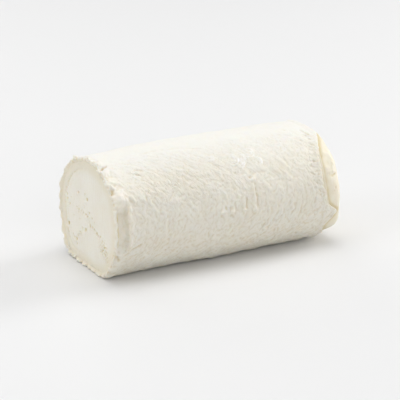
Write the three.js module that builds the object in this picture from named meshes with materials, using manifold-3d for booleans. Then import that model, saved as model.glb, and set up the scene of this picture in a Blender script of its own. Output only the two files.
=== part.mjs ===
// A small log of soft goat cheese with a thin white rind, lying on its side.
// Millimetres, +Z up, the length along X. The open end faces -X, the folded end faces +X,
// and -Y is the near side. The origin is below the middle of the log, on the surface it lies on.
//
// The log starts as a lathed round bar of rings. Every ring is then pressed, folded and roughened by
// the functions below, and the small pits, tears and pressed ridges are cut or joined afterwards.

import * as THREE from "three";
import { ImprovedNoise } from "three/addons/math/ImprovedNoise.js";
import { mergeVertices } from "three/addons/utils/BufferGeometryUtils.js";
import Module from "manifold-3d";

// Overall size
const LENGTH = 102.4;
const WIDTH = 51.4;
const HEIGHT = 46;

// The soft cheese has sunk under its own weight: this much of the round section is pressed flat.
const SAG = 2.4;
const FOOT_ROUNDING = 0.8;

// Open end: a flat disc of paste, a groove round it, a smooth border and a ragged rim of rind
const DISC_SHARE = 0.72;
const GROOVE_SHARE = 0.765;
const WELT_SHARE = 0.81;
const BORDER_SHARE = 0.925;
const RIM_SHARE = 0.972;
const DISC_RECESS = 1.5;
const GROOVE_RECESS = 2.1;
const WELT_RECESS = 1.1;
const BORDER_RECESS = 1.7;
const RIM_OUTER_DROP = 0.6;
const RIM_CRAG = 0.75;
const RIM_CRUMB = 0.38;
const RIM_CRAG_PITCH = 4.2;
const RIM_FADE = 5;

// Near the rim the rind is pinched into a shallow channel on the near side.
const PINCH_FROM_RIM = 3.1;
const PINCH_HALF_WIDTH = 1.9;
const PINCH_DEPTH = 1.1;
const PINCH_MIDDLE_DEG = 6;
const PINCH_HALF_DEG = 24;

// Folded end: the rind stops at an uneven edge, and smooth paste rounds over to the end
const SHOULDER_LENGTH = 18;
const SHOULDER_POWER = 3.2;
const END_SHARE = 0.765;
const END_DISH = 0.9;
const END_LEAN = 0.035;
const EDGE_FROM_END = 9;
const EDGE_WARP_FROM = 34;
const LIP_HEIGHT = 0.45;
const LIP_WIDTH = 1.6;
const CREASE_DEPTH = 1.1;
const CREASE_WIDTH = 1.5;
const PASTE_DROP = 0.25;

// Skin relief
const LUMP_HEIGHT = 0.55;
const LUMP_SIZE = 15;
const GRAIN_HEIGHT = 0.28;
const GRAIN_SIZE = 5;
const WRINKLE_HEIGHT = 0.22;
const WRINKLE_PITCH = 7;

// Mesh density
const SEGMENTS = 72;
const SIDE_STEP = 3.7;
const SHOULDER_RINGS = 8;
const PIT_DETAIL = 0;
const RIDGE_DETAIL = 1;
const SHORTEST_EDGE = 0.12;
const THINNEST_FACE = 0.04;
const CLEANING_PASSES = 6;

const HALF_LENGTH = LENGTH / 2;
const HALF_WIDTH = WIDTH / 2;
const HALF_HEIGHT = (HEIGHT + SAG) / 2;
const AXIS_HEIGHT = HEIGHT - HALF_HEIGHT;
const MEAN_RADIUS = (HALF_WIDTH + HALF_HEIGHT) / 2;
const EDGE_X = HALF_LENGTH - EDGE_FROM_END;
const SHOULDER_X = HALF_LENGTH - SHOULDER_LENGTH;

const noise = new ImprovedNoise();
const { clamp, degToRad, radToDeg, smoothstep } = THREE.MathUtils;

// Angles go round the log in degrees: 0 is the near side, 90 the top, 180 the far side, 270 the foot.
function bell(value, middle, halfWidth) {
  return Math.exp(-(((value - middle) / halfWidth) ** 2));
}

function angleBell(angle, middle, halfWidth) {
  const away = Math.abs(((angle - middle + 540) % 360) - 180);
  return bell(away, 0, halfWidth);
}

// How much larger than a true oval the section is, as a share: the rim at the open end is
// flatter on top, has a corner high on the near side and spreads low on the far side.
function sectionShare(x, angle) {
  const atRim = 1 - smoothstep(x, -HALF_LENGTH, -HALF_LENGTH + 30);
  const rimShape =
    -0.06 * angleBell(angle, 112, 42) +
    0.055 * angleBell(angle, 33, 13) +
    0.05 * angleBell(angle, 215, 20) -
    0.02 * angleBell(angle, 318, 30);
  const barrel = 0.012 * Math.cos((Math.PI * x) / LENGTH) - 0.006;
  return 1 + atRim * rimShape + barrel;
}

// Where the rind ends near the folded end: it reaches further at the top, draws back on the near
// side, and runs out in a tongue low down.
function rindEdgeX(angle) {
  return (
    EDGE_X +
    1.9 * angleBell(angle, 66, 18) -
    1.4 * angleBell(angle, 20, 20) +
    5.2 * angleBell(angle, -18, 9) +
    1.8 * angleBell(angle, -44, 12) +
    1.6 * angleBell(angle, 150, 35) -
    1.2 * angleBell(angle, 215, 22)
  );
}

// Rings near the rind's edge bend with it, so that the edge stays crisp.
function followEdge(x, angle) {
  const rising = smoothstep(x, EDGE_WARP_FROM, EDGE_X);
  const falling = 1 - smoothstep(x, EDGE_X + 1, HALF_LENGTH);
  return x + (rindEdgeX(angle) - EDGE_X) * rising * falling;
}

// Raised lip of rind, then the crease under it, then the paste swelling back.
function edgeRelief(x, angle) {
  const past = x - rindEdgeX(angle);
  if (past <= 0) return LIP_HEIGHT * bell(past, 0, LIP_WIDTH);
  return -CREASE_DEPTH * Math.exp(-past / CREASE_WIDTH) - PASTE_DROP;
}

function pinchRelief(x, angle) {
  const across = bell(x, -HALF_LENGTH + PINCH_FROM_RIM, PINCH_HALF_WIDTH);
  return -PINCH_DEPTH * across * angleBell(angle, PINCH_MIDDLE_DEG, PINCH_HALF_DEG);
}

// Wrinkles run round the log on its near side, fading towards the top.
function wrinkleRelief(x, angle) {
  const where = angleBell(angle, -8, 34) * smoothstep(x, -42, -30) * (1 - smoothstep(x, 30, 40));
  const wander = 1.4 * noise.noise(x / 11, angle / 25, 4.5);
  return WRINKLE_HEIGHT * where * Math.sin((2 * Math.PI * (x + wander)) / WRINKLE_PITCH);
}

// A soft bulge where the underside has spread on the near side.
function bulgeRelief(x, angle) {
  return 0.5 * bell(x, -2, 9) * angleBell(angle, -56, 12);
}

function lumps(point) {
  const coarse = noise.noise(point.x / LUMP_SIZE, point.y / LUMP_SIZE, point.z / LUMP_SIZE);
  const fine = noise.noise(point.x / GRAIN_SIZE, point.y / GRAIN_SIZE, point.z / GRAIN_SIZE + 7.3);
  return LUMP_HEIGHT * coarse + GRAIN_HEIGHT * fine;
}

// Ragged teeth and crumbs along the rim, from -1 to 1.
function crag(angle, layer) {
  const around = (degToRad(angle) * MEAN_RADIUS) / RIM_CRAG_PITCH;
  const turn = degToRad(angle);
  const slow = noise.noise(Math.cos(turn) * 5.5, Math.sin(turn) * 5.5, layer);
  const quick = Math.sin(around * 2 * Math.PI * 0.5 + 4 * slow);
  return clamp(1.5 * slow + 0.35 * quick, -1, 1);
}

// How far the ragged rim stands back from, or out of, the plane of the open end. The skin beside the
// rim goes with it.
function rimShift(x, angle) {
  const besideRim = 1 - smoothstep(x, -HALF_LENGTH + RIM_OUTER_DROP, -HALF_LENGTH + RIM_FADE);
  return besideRim * RIM_CRAG * (0.5 - crag(angle, 9.1));
}

// The round shoulder's share of the section at a distance past its start.
function shoulderShare(past) {
  const part = clamp(past / SHOULDER_LENGTH, 0, 1);
  return END_SHARE + (1 - END_SHARE) * (1 - part ** SHOULDER_POWER) ** (1 / SHOULDER_POWER);
}

// A point of the section. The swollen oval is pressed flat where it meets the surface below, and a
// smaller share draws that whole outline in towards the axis.
function onSection(share, swell, angle) {
  const turn = degToRad(angle);
  const y = -HALF_WIDTH * swell * Math.cos(turn);
  const raw = AXIS_HEIGHT + HALF_HEIGHT * swell * Math.sin(turn);
  const pressed = Math.max(raw + FOOT_ROUNDING, 0);
  const z = raw >= FOOT_ROUNDING ? raw : pressed ** 2 / (4 * FOOT_ROUNDING);
  return [share * y, AXIS_HEIGHT + share * (z - AXIS_HEIGHT)];
}

// Profile of the lathed bar from the middle of the open end, along the side, to the middle of the
// folded end. A point's first number is its share of the section, its second the place along X.
function profile() {
  const stations = [];
  const inner = [0, 0.13, 0.26, 0.38, 0.5, 0.6, 0.67, DISC_SHARE];
  for (const share of inner) stations.push([share, -HALF_LENGTH + DISC_RECESS]);
  stations.push([GROOVE_SHARE, -HALF_LENGTH + GROOVE_RECESS]);
  stations.push([WELT_SHARE, -HALF_LENGTH + WELT_RECESS]);
  stations.push([(WELT_SHARE + BORDER_SHARE) / 2, -HALF_LENGTH + (WELT_RECESS + BORDER_RECESS) / 2]);
  stations.push([BORDER_SHARE, -HALF_LENGTH + BORDER_RECESS]);
  stations.push([(BORDER_SHARE + RIM_SHARE) / 2, -HALF_LENGTH + BORDER_RECESS * 0.55]);
  stations.push([RIM_SHARE, -HALF_LENGTH]);
  stations.push([0.995, -HALF_LENGTH + RIM_OUTER_DROP]);
  for (const fromRim of [1.4, 2.2, 3.1, 4.1, 5.2, 6.8]) stations.push([1, -HALF_LENGTH + fromRim]);

  const sideStart = -HALF_LENGTH + 9.2;
  const steps = Math.round((SHOULDER_X - sideStart) / SIDE_STEP);
  for (let i = 0; i < steps; i++) stations.push([1, sideStart + (i * (SHOULDER_X - sideStart)) / steps]);

  const edgeOffsets = [-6.5, -4, -2.2, -1, -0.15, 0.15, 0.9, 2];
  for (const offset of edgeOffsets) {
    const x = EDGE_X + offset;
    stations.push([shoulderShare(x - SHOULDER_X), x]);
  }
  for (let i = 1; i <= SHOULDER_RINGS; i++) {
    const begin = EDGE_X + 2 - SHOULDER_X;
    const turn = (i / SHOULDER_RINGS) * (Math.PI / 2);
    const past = begin + (SHOULDER_LENGTH - begin) * Math.sin(turn);
    stations.push([shoulderShare(past), SHOULDER_X + past]);
  }
  for (const share of [0.68, 0.56, 0.42, 0.28, 0.14, 0]) stations.push([share, HALF_LENGTH]);
  return stations;
}

// Moves one point of the lathed bar to its place on the log.
function shape(share, x, angle) {
  const onOpenFace = x < -HALF_LENGTH + 3 && share < 0.9999;
  const side = share >= 0.9999;
  const rimPart = onOpenFace ? smoothstep(share, BORDER_SHARE, RIM_SHARE) : 0;
  let along = x > EDGE_WARP_FROM && share > END_SHARE + 0.001 ? followEdge(x, angle) : x;
  let fraction = share;
  if (x > EDGE_WARP_FROM && share > END_SHARE + 0.001) fraction = shoulderShare(along - SHOULDER_X);

  let [y, z] = onSection(fraction, sectionShare(along, angle), angle);

  const outward = new THREE.Vector2(-Math.cos(degToRad(angle)), Math.sin(degToRad(angle)));
  const here = new THREE.Vector3(along, y, z);
  const pressedFoot = z <= 0;
  let relief = 0;
  if (side || (x > EDGE_WARP_FROM && share > END_SHARE + 0.001)) {
    relief += pinchRelief(along, angle) + wrinkleRelief(along, angle) + bulgeRelief(along, angle);
    if (along > EDGE_WARP_FROM) relief += edgeRelief(along, angle);
    const calm = 1 - 0.6 * smoothstep(along, EDGE_X, HALF_LENGTH);
    relief += calm * lumps(here);
    const nearRim = 1 - smoothstep(along, -HALF_LENGTH + 0.5, -HALF_LENGTH + 5);
    relief += RIM_CRUMB * nearRim * crag(angle, 2.5);
    along += rimShift(x, angle);
  }
  if (onOpenFace) {
    relief += rimPart * (0.4 * lumps(here) + RIM_CRUMB * crag(angle, 2.5));
    along += rimPart * rimShift(x, angle) + 0.15 * lumps(here);
  }
  if (x > HALF_LENGTH - 0.01) {
    along -= END_DISH * (1 - smoothstep(share, 0.1, END_SHARE)) - 0.4 * lumps(here);
  }
  if (x > 0) along -= END_LEAN * (z - AXIS_HEIGHT) * smoothstep(x, SHOULDER_X, HALF_LENGTH);
  if (!pressedFoot) {
    y += relief * outward.x;
    z += relief * outward.y * clamp(z / (2 * FOOT_ROUNDING), 0, 1);
  }
  return new THREE.Vector3(along, y, Math.max(z, 0));
}

function lathedBar() {
  const points = profile()
    .reverse()
    .map(([share, x]) => new THREE.Vector2(share * MEAN_RADIUS, x));
  const bar = new THREE.LatheGeometry(points, SEGMENTS);
  bar.deleteAttribute("normal");
  bar.deleteAttribute("uv");
  return mergeVertices(bar, 1e-3);
}

function shapedLog() {
  const geometry = lathedBar();
  const position = geometry.getAttribute("position");
  for (let i = 0; i < position.count; i++) {
    const radius = Math.hypot(position.getX(i), position.getZ(i));
    const angle = radToDeg(Math.atan2(position.getX(i), position.getZ(i)));
    const place = shape(radius / MEAN_RADIUS, position.getY(i), angle);
    position.setXYZ(i, place.x, place.y, place.z);
  }
  return geometry;
}

// Small forms that are cut from the log or joined to it, each a stretched ball with few faces.

function stretchedBall(size, place, turn, detail = PIT_DETAIL) {
  const ball = new THREE.IcosahedronGeometry(1, detail);
  ball.deleteAttribute("normal");
  ball.deleteAttribute("uv");
  const matrix = new THREE.Matrix4().compose(
    place,
    new THREE.Quaternion().setFromEuler(new THREE.Euler(...turn)),
    new THREE.Vector3(...size),
  );
  return mergeVertices(ball, 1e-4).applyMatrix4(matrix);
}

// Where a place along the log and round it lies on the finished side, sunk by a depth.
function onSide(x, angle, depth) {
  const point = shape(1, x, angle);
  const turn = degToRad(angle);
  return point.add(new THREE.Vector3(0, depth * Math.cos(turn), -depth * Math.sin(turn)));
}

// Pits in the disc of paste: across, up from the axis, and radius. Most sit in a drift that
// runs down the middle, with one torn crater low on the near side.
const PITS = [
  [-1.2, 9.5, 0.55],
  [6.8, 4.6, 0.4],
  [3.2, 1.8, 0.5],
  [-0.6, 0.6, 0.75],
  [11.8, -2.6, 0.9],
  [-2.4, -4.4, 0.6],
  [1.2, -5.6, 0.7],
  [4.6, -6.8, 0.6],
  [6.9, -9.4, 0.7],
  [-5.6, -6.6, 0.6],
  [-8.4, -7.9, 0.5],
  [-9.6, -12.6, 1.25],
  [-11.4, -14.9, 0.6],
];

function pits() {
  return PITS.map(([y, up, radius]) => {
    const place = new THREE.Vector3(-HALF_LENGTH + DISC_RECESS - 0.1, y, AXIS_HEIGHT + up);
    return stretchedBall([radius * 0.9, radius, radius * 1.2], place, [0, 0, 0]);
  });
}

// The rind is split at the rim, and torn low down where the pinched channel ends.
function tears() {
  const split = stretchedBall([4.4, 0.45, 1.1], onSide(-HALF_LENGTH + 2.2, 64, 0.1), [degToRad(-26), 0, 0]);
  const hole = stretchedBall([1.6, 1.1, 0.7], onSide(-HALF_LENGTH + 1.2, -34, 0), [0, 0, 0]);
  return [split, hole];
}

// Gathers: short grooves along the log where the rind is drawn in at its edge.
function gathers() {
  const first = 62;
  const last = 12;
  const count = 11;
  return Array.from({ length: count }, (_, i) => {
    const angle = first + ((last - first) * i) / (count - 1);
    const length = 2.6 + 1.2 * noise.noise(i * 0.73, 2.1, 5.2);
    const place = onSide(rindEdgeX(angle) - length * 0.75, angle, -0.12);
    return stretchedBall([length, 0.36, 0.42], place, [degToRad(angle), 0, 0]);
  });
}

// A row of small ridges pressed up out of the near side, each ending in a knob.
function pressedRidges() {
  const ridges = [
    [-4.8, 8, 1.6],
    [-0.8, 8, 2.2],
    [4.9, 8, 3],
    [9.3, 9, 4.4],
    [10.2, 29, 1.3],
  ];
  return ridges.map(([x, angle, halfHeight]) => {
    const turn = degToRad(90 - angle);
    return stretchedBall([0.75, halfHeight, 0.75], onSide(x, angle, 0.25), [turn, 0, 0], RIDGE_DETAIL);
  });
}

const wasm = await Module();
wasm.setup();

function toSolid(geometry) {
  return new wasm.Manifold(
    new wasm.Mesh({
      numProp: 3,
      vertProperties: new Float32Array(geometry.getAttribute("position").array),
      triVerts: new Uint32Array(geometry.index.array),
    }),
  );
}

function toGeometry(solid) {
  const mesh = solid.getMesh();
  const geometry = new THREE.BufferGeometry();
  geometry.setAttribute("position", new THREE.BufferAttribute(mesh.vertProperties, 3));
  geometry.setIndex(new THREE.BufferAttribute(mesh.triVerts, 1));
  return geometry;
}

// Cutting leaves needle-thin triangles. The class holds the surface as corners and triangles, draws the
// ends of every short edge together, and turns the long edge of every sliver.
class Surface {
  constructor(geometry) {
    const position = geometry.getAttribute("position");
    this.corners = Array.from({ length: position.count }, (_, i) =>
      new THREE.Vector3().fromBufferAttribute(position, i),
    );
    this.around = this.corners.map(() => new Set());
    this.triangles = new Set();
    const index = geometry.index.array;
    for (let i = 0; i < index.length; i += 3) this.add([index[i], index[i + 1], index[i + 2]]);
  }

  add(triangle) {
    this.triangles.add(triangle);
    for (const corner of triangle) this.around[corner].add(triangle);
  }

  remove(triangle) {
    this.triangles.delete(triangle);
    for (const corner of triangle) this.around[corner].delete(triangle);
  }

  neighbours(corner) {
    return new Set([...this.around[corner]].flat().filter((other) => other !== corner));
  }

  length(a, b) {
    return this.corners[a].distanceTo(this.corners[b]);
  }

  normal([a, b, c]) {
    const along = this.corners[b].clone().sub(this.corners[a]);
    return along.cross(this.corners[c].clone().sub(this.corners[a]));
  }

  thickness(triangle) {
    const [a, b, c] = triangle;
    const longest = Math.max(this.length(a, b), this.length(b, c), this.length(c, a));
    return this.normal(triangle).length() / longest;
  }

  // Moves a corner onto its neighbour, where the surface stays whole and nothing folds over.
  collapse(from, to) {
    const besideTo = this.neighbours(to);
    const shared = [...this.neighbours(from)].filter((corner) => besideTo.has(corner));
    if (shared.length !== 2) return false;
    const kept = [...this.around[from]].filter((triangle) => !triangle.includes(to));
    const moved = kept.map((triangle) => triangle.map((corner) => (corner === from ? to : corner)));
    const folds = moved.some(
      (triangle, i) => this.thickness(kept[i]) > THINNEST_FACE && this.normal(triangle).dot(this.normal(kept[i])) <= 0,
    );
    if (folds) return false;
    for (const triangle of [...this.around[from]]) this.remove(triangle);
    for (const triangle of moved) this.add(triangle);
    return true;
  }

  // Turns the longest edge of a sliver, so that it joins the two corners facing that edge.
  turnLongEdge(sliver) {
    const starts = [0, 1, 2].map((i) => this.length(sliver[i], sliver[(i + 1) % 3]));
    const i = starts.indexOf(Math.max(...starts));
    const [a, b, c] = [sliver[i], sliver[(i + 1) % 3], sliver[(i + 2) % 3]];
    const beyond = [...this.around[a]].find((triangle) => triangle !== sliver && triangle.includes(b));
    const d = beyond.find((corner) => corner !== a && corner !== b);
    const turned = [
      [a, d, c],
      [d, b, c],
    ];
    const before = Math.min(this.thickness(sliver), this.thickness(beyond));
    const after = Math.min(...turned.map((triangle) => this.thickness(triangle)));
    if (after <= before || this.neighbours(c).has(d)) return false;
    this.remove(sliver);
    this.remove(beyond);
    for (const triangle of turned) this.add(triangle);
    return true;
  }

  clean() {
    let changes = 0;
    for (const triangle of [...this.triangles]) {
      if (!this.triangles.has(triangle)) continue;
      const [a, b, c] = triangle;
      const edges = [[a, b], [b, c], [c, a]];
      const short = edges.find(([from, to]) => this.length(from, to) < SHORTEST_EDGE);
      const shortened = short && (this.collapse(...short) || this.collapse(...short.toReversed()));
      const thin = !shortened && this.thickness(triangle) < THINNEST_FACE;
      if (shortened || (thin && this.turnLongEdge(triangle))) changes++;
    }
    return changes;
  }

  toGeometry() {
    const geometry = new THREE.BufferGeometry();
    const position = [...this.triangles].flat().flatMap((corner) => this.corners[corner].toArray());
    geometry.setAttribute("position", new THREE.Float32BufferAttribute(position, 3));
    return mergeVertices(geometry, 1e-5);
  }
}

function withoutSlivers(geometry) {
  const surface = new Surface(geometry);
  for (let pass = 0; pass < CLEANING_PASSES && surface.clean() > 0; pass++);
  return surface.toGeometry();
}

function cheeseGeometry() {
  let log = toSolid(shapedLog());
  for (const ridge of pressedRidges()) log = log.add(toSolid(ridge));
  for (const cut of [...pits(), ...tears(), ...gathers()]) log = log.subtract(toSolid(cut));
  const geometry = withoutSlivers(toGeometry(log));
  geometry.computeBoundingBox();
  const { min, max } = geometry.boundingBox;
  geometry.translate(-(min.x + max.x) / 2, -(min.y + max.y) / 2, -min.z);
  geometry.computeVertexNormals();
  return geometry;
}

const rind = new THREE.MeshStandardMaterial({ color: 0xf3efe4, roughness: 0.72, metalness: 0 });

const cheeseLog = new THREE.Mesh(cheeseGeometry(), rind);
cheeseLog.name = "cheese_log";

const group = new THREE.Group();
group.add(cheeseLog);

export default group;
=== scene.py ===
"""Looks of a small goat cheese log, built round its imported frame.

The log lies along X. Its open end faces -X, its folded end faces +X, and its near side faces -Y.
Lengths are millimetres until a mesh is written, and angles round the log are degrees: 0 is the near
side, 90 the top, 180 the far side and 270 the foot. A share is a part of the section's own radius,
from 0 on the axis to 1 on the skin.
"""

from __future__ import annotations

import itertools
import logging
import math
from collections.abc import Callable
from dataclasses import dataclass, field, replace
from enum import Enum

import bpy
import numpy as np
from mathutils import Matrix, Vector


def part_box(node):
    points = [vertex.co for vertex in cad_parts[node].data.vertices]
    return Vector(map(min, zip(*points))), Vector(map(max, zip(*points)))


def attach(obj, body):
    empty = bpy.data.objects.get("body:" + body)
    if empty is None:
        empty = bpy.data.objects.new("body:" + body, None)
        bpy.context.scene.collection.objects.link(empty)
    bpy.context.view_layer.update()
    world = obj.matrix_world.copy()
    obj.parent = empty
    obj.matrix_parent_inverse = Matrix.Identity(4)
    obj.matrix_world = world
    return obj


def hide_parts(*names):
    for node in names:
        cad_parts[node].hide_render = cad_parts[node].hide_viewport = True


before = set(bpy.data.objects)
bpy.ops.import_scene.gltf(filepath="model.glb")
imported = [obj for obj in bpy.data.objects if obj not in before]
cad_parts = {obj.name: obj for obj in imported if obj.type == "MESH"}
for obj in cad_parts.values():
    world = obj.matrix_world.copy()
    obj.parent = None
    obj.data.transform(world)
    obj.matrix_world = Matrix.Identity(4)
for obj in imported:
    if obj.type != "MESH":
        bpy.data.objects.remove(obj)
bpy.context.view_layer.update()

MM = 0.001
NODE = "cheese_log"
BODY = "root"
log = logging.getLogger("goat_cheese_log")

Array = np.ndarray
Node = bpy.types.Node
Wire = bpy.types.NodeSocket
Tree = bpy.types.NodeTree
Test = Callable[[Array, Array], Array]
Profile = tuple[tuple[float, float], ...]
Bump = tuple[float, float, float]
Colour = tuple[float, float, float]


# Numbers and noise


def bell(value: Array, middle: float, half_width: float) -> Array:
    """A smooth bump of height 1 round a middle value."""
    return np.exp(-(((value - middle) / half_width) ** 2))


def turn_between(angle: Array, middle: float) -> Array:
    """The signed angle from a middle angle, in degrees from -180 to 180."""
    return (angle - middle + 180.0) % 360.0 - 180.0


def angle_bell(angle: Array, middle: float, half_width: float) -> Array:
    """A smooth bump of height 1 round a middle angle."""
    return bell(turn_between(angle, middle), 0.0, half_width)


def smooth(value: Array, start: float, end: float) -> Array:
    """A soft step from 0 at start to 1 at end."""
    part = np.clip((value - start) / (end - start), 0.0, 1.0)
    return part * part * (3.0 - 2.0 * part)


def band(value: Array, rise: tuple[float, float], fall: tuple[float, float]) -> Array:
    """Goes from 0 to 1 over the first span and back to 0 over the second."""
    return smooth(value, *rise) * (1.0 - smooth(value, *fall))


def bells(angle: Array, bumps: tuple[Bump, ...], start: float = 0.0) -> Array:
    """Adds bumps round the log to a start value.

    Args:
        angle: Where round the log.
        bumps: Height, middle angle and half width of each bump.
        start: What they are added to.

    Returns:
        One value for each angle.
    """
    return sum((height * angle_bell(angle, middle, width) for height, middle, width in bumps), start)


class GradientNoise:
    """Smooth random relief in space, the same on each run."""

    LATTICE = 4096
    PRIMES = (73856093, 19349663, 83492791)

    def __init__(self, seed: int) -> None:
        """Draws the lattice's gradients.

        Args:
            seed: Start of the random draws.
        """
        draws = np.random.default_rng(seed).normal(size=(self.LATTICE, 3))
        self.gradients = draws / np.linalg.norm(draws, axis=1, keepdims=True)

    def __call__(self, points: Array) -> Array:
        """Evaluates the noise.

        Args:
            points: Places, one row each, with the lattice's cells one unit wide.

        Returns:
            One value for each place, mostly between -0.7 and 0.7.
        """
        cell = np.floor(points).astype(np.int64)
        part = points - cell
        fade = part**3 * (part * (part * 6.0 - 15.0) + 10.0)
        total = np.zeros(len(points))
        for corner in itertools.product((0, 1), repeat=3):
            offset = np.array(corner)
            where = cell + offset
            hashed = np.bitwise_xor.reduce(where * np.array(self.PRIMES), axis=1)
            gradient = self.gradients[hashed % self.LATTICE]
            weight = np.prod(np.where(offset == 1, fade, 1.0 - fade), axis=1)
            total += weight * np.sum(gradient * (part - offset), axis=1)
        return total


# The log's form


@dataclass
class LogForm:
    """The log's outer form, in millimetres and degrees.

    The driving sizes come from the frame's box. The rim's teeth and the skin's swellings stand out
    of the plain form, so that form is smaller than the box by an allowance each way.
    """

    rim_allowance: float = 1.0
    skin_allowance: float = 1.4
    top_allowance: float = 0.35
    sag: float = 2.9
    foot_rounding: float = 2.2
    foot_lift: float = 0.8
    shoulder_length: float = 18.0
    shoulder_power: float = 3.0
    end_share: float = 0.745
    end_dish: float = 0.5
    end_lean: float = 0.035
    edge_from_end: float = 9.0
    rim_reach: float = 30.0
    corner_fullness: float = 0.085
    barrel: float = 0.012
    lift_start: float = 26.0
    lift_past_end: float = 4.0
    lift_power: float = 1.5
    length: float = field(init=False)
    width: float = field(init=False)
    height: float = field(init=False)

    # Bumps of the section at the rim, and of the rind's edge: height, middle angle, half width
    RIM_BUMPS = (
        (-0.06, 112.0, 42.0),
        (0.055, 33.0, 13.0),
        (0.05, 212.0, 20.0),
        (0.085, 233.0, 17.0),
        (0.035, 296.0, 18.0),
    )
    EDGE_BUMPS = (
        (4.4, 68.0, 18.0),
        (2.6, 102.0, 26.0),
        (-1.4, 20.0, 20.0),
        (5.4, -18.0, 8.5),
        (0.8, -46.0, 12.0),
        (-0.6, -33.0, 5.0),
        (1.6, 150.0, 35.0),
        (-1.2, 215.0, 22.0),
    )

    def __post_init__(self) -> None:
        """Works out the driving sizes from the frame."""
        low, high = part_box(NODE)
        size = (high - low) / MM
        self.length = size.x - self.rim_allowance
        self.width = size.y - self.skin_allowance
        self.height = size.z - self.top_allowance

    @property
    def half_length(self) -> float:
        """Half of the plain form's length."""
        return self.length / 2.0

    @property
    def half_width(self) -> float:
        """Half of the section's width."""
        return self.width / 2.0

    @property
    def half_height(self) -> float:
        """Half of the section's height before it sank."""
        return (self.height + self.sag) / 2.0

    @property
    def axis_height(self) -> float:
        """Height of the log's axis above what it lies on."""
        return self.height - self.half_height

    @property
    def mean_radius(self) -> float:
        """Radius of the round bar that the log is shaped from."""
        return (self.half_width + self.half_height) / 2.0

    @property
    def edge_x(self) -> float:
        """Where the rind ends, on average."""
        return self.half_length - self.edge_from_end

    @property
    def shoulder_x(self) -> float:
        """Where the folded end starts to round over."""
        return self.half_length - self.shoulder_length

    def swell(self, x: Array, angle: Array) -> Array:
        """Works out how much larger than a true oval the section is.

        The rim is flatter on top, with a corner high on the near side and a low spread on the far
        side. The folded end is fuller low on the near side, and the middle is slightly fuller too.

        Args:
            x: Place along the log.
            angle: Where round the log.

        Returns:
            The section's size, as a share of the oval's.
        """
        at_rim = 1.0 - smooth(x, -self.half_length, -self.half_length + self.rim_reach)
        at_end = smooth(x, self.shoulder_x, self.half_length) * self.corner_fullness
        at_end = at_end * angle_bell(angle, -35, 14)
        barrel = self.barrel * np.cos(np.pi * x / self.length) - self.barrel / 2.0
        return 1.0 + at_rim * bells(angle, self.RIM_BUMPS) + at_end + barrel

    def rind_edge(self, angle: Array) -> Array:
        """Where the rind ends: further out at the top, drawn back on the near side, run out in a tongue."""
        return bells(angle, self.EDGE_BUMPS, self.edge_x)

    def shoulder_share(self, x: Array) -> Array:
        """Share of the section at a place along the folded end's round shoulder."""
        part = np.clip((x - self.shoulder_x) / self.shoulder_length, 0.0, 1.0)
        bend = (1.0 - part**self.shoulder_power) ** (1.0 / self.shoulder_power)
        return self.end_share + (1.0 - self.end_share) * bend

    def on_section(
        self, share: Array, swell: Array, angle: Array
    ) -> tuple[Array, Array]:
        """Finds a point of the section, which is pressed flat where it meets what it lies on.

        Args:
            share: How far out from the axis.
            swell: How much larger the section is here.
            angle: Where round the log.

        Returns:
            The places across and up.
        """
        turn = np.radians(angle)
        y = -self.half_width * swell * np.cos(turn)
        raw = self.axis_height + self.half_height * swell * np.sin(turn)
        pressed = np.maximum(raw + self.foot_rounding, 0.0)
        z = np.where(raw >= self.foot_rounding, raw, pressed**2 / (4.0 * self.foot_rounding))
        return share * y, self.axis_height + share * (z - self.axis_height)

    def lifted(self, x: Array, z: Array) -> Array:
        """Height with the underside drawn up a little towards the folded end."""
        low = np.clip(1.0 - z / self.axis_height, 0.0, 1.0)
        along = smooth(x, self.lift_start, self.half_length + self.lift_past_end)
        return z + self.foot_lift * low * along**self.lift_power


# Marks on a surface


@dataclass(frozen=True)
class Stroke:
    """A crease or ridge drawn on a surface through a few points.

    Attributes:
        path: Points on the surface: along the log and angle round it, or across and up on an end.
        width: Half width of the mark, in millimetres.
        height: How far it stands out of the surface, or into it if negative.
    """

    path: tuple[tuple[float, float], ...]
    width: float
    height: float


@dataclass(frozen=True)
class Spot:
    """A pit or knob on a surface.

    Attributes:
        place: Its middle, as on a stroke's path.
        size: Half sizes along the log and round it, or across and up, in millimetres.
        height: How far it stands out of the surface, or into it if negative.
    """

    place: tuple[float, float]
    size: tuple[float, float]
    height: float


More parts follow.
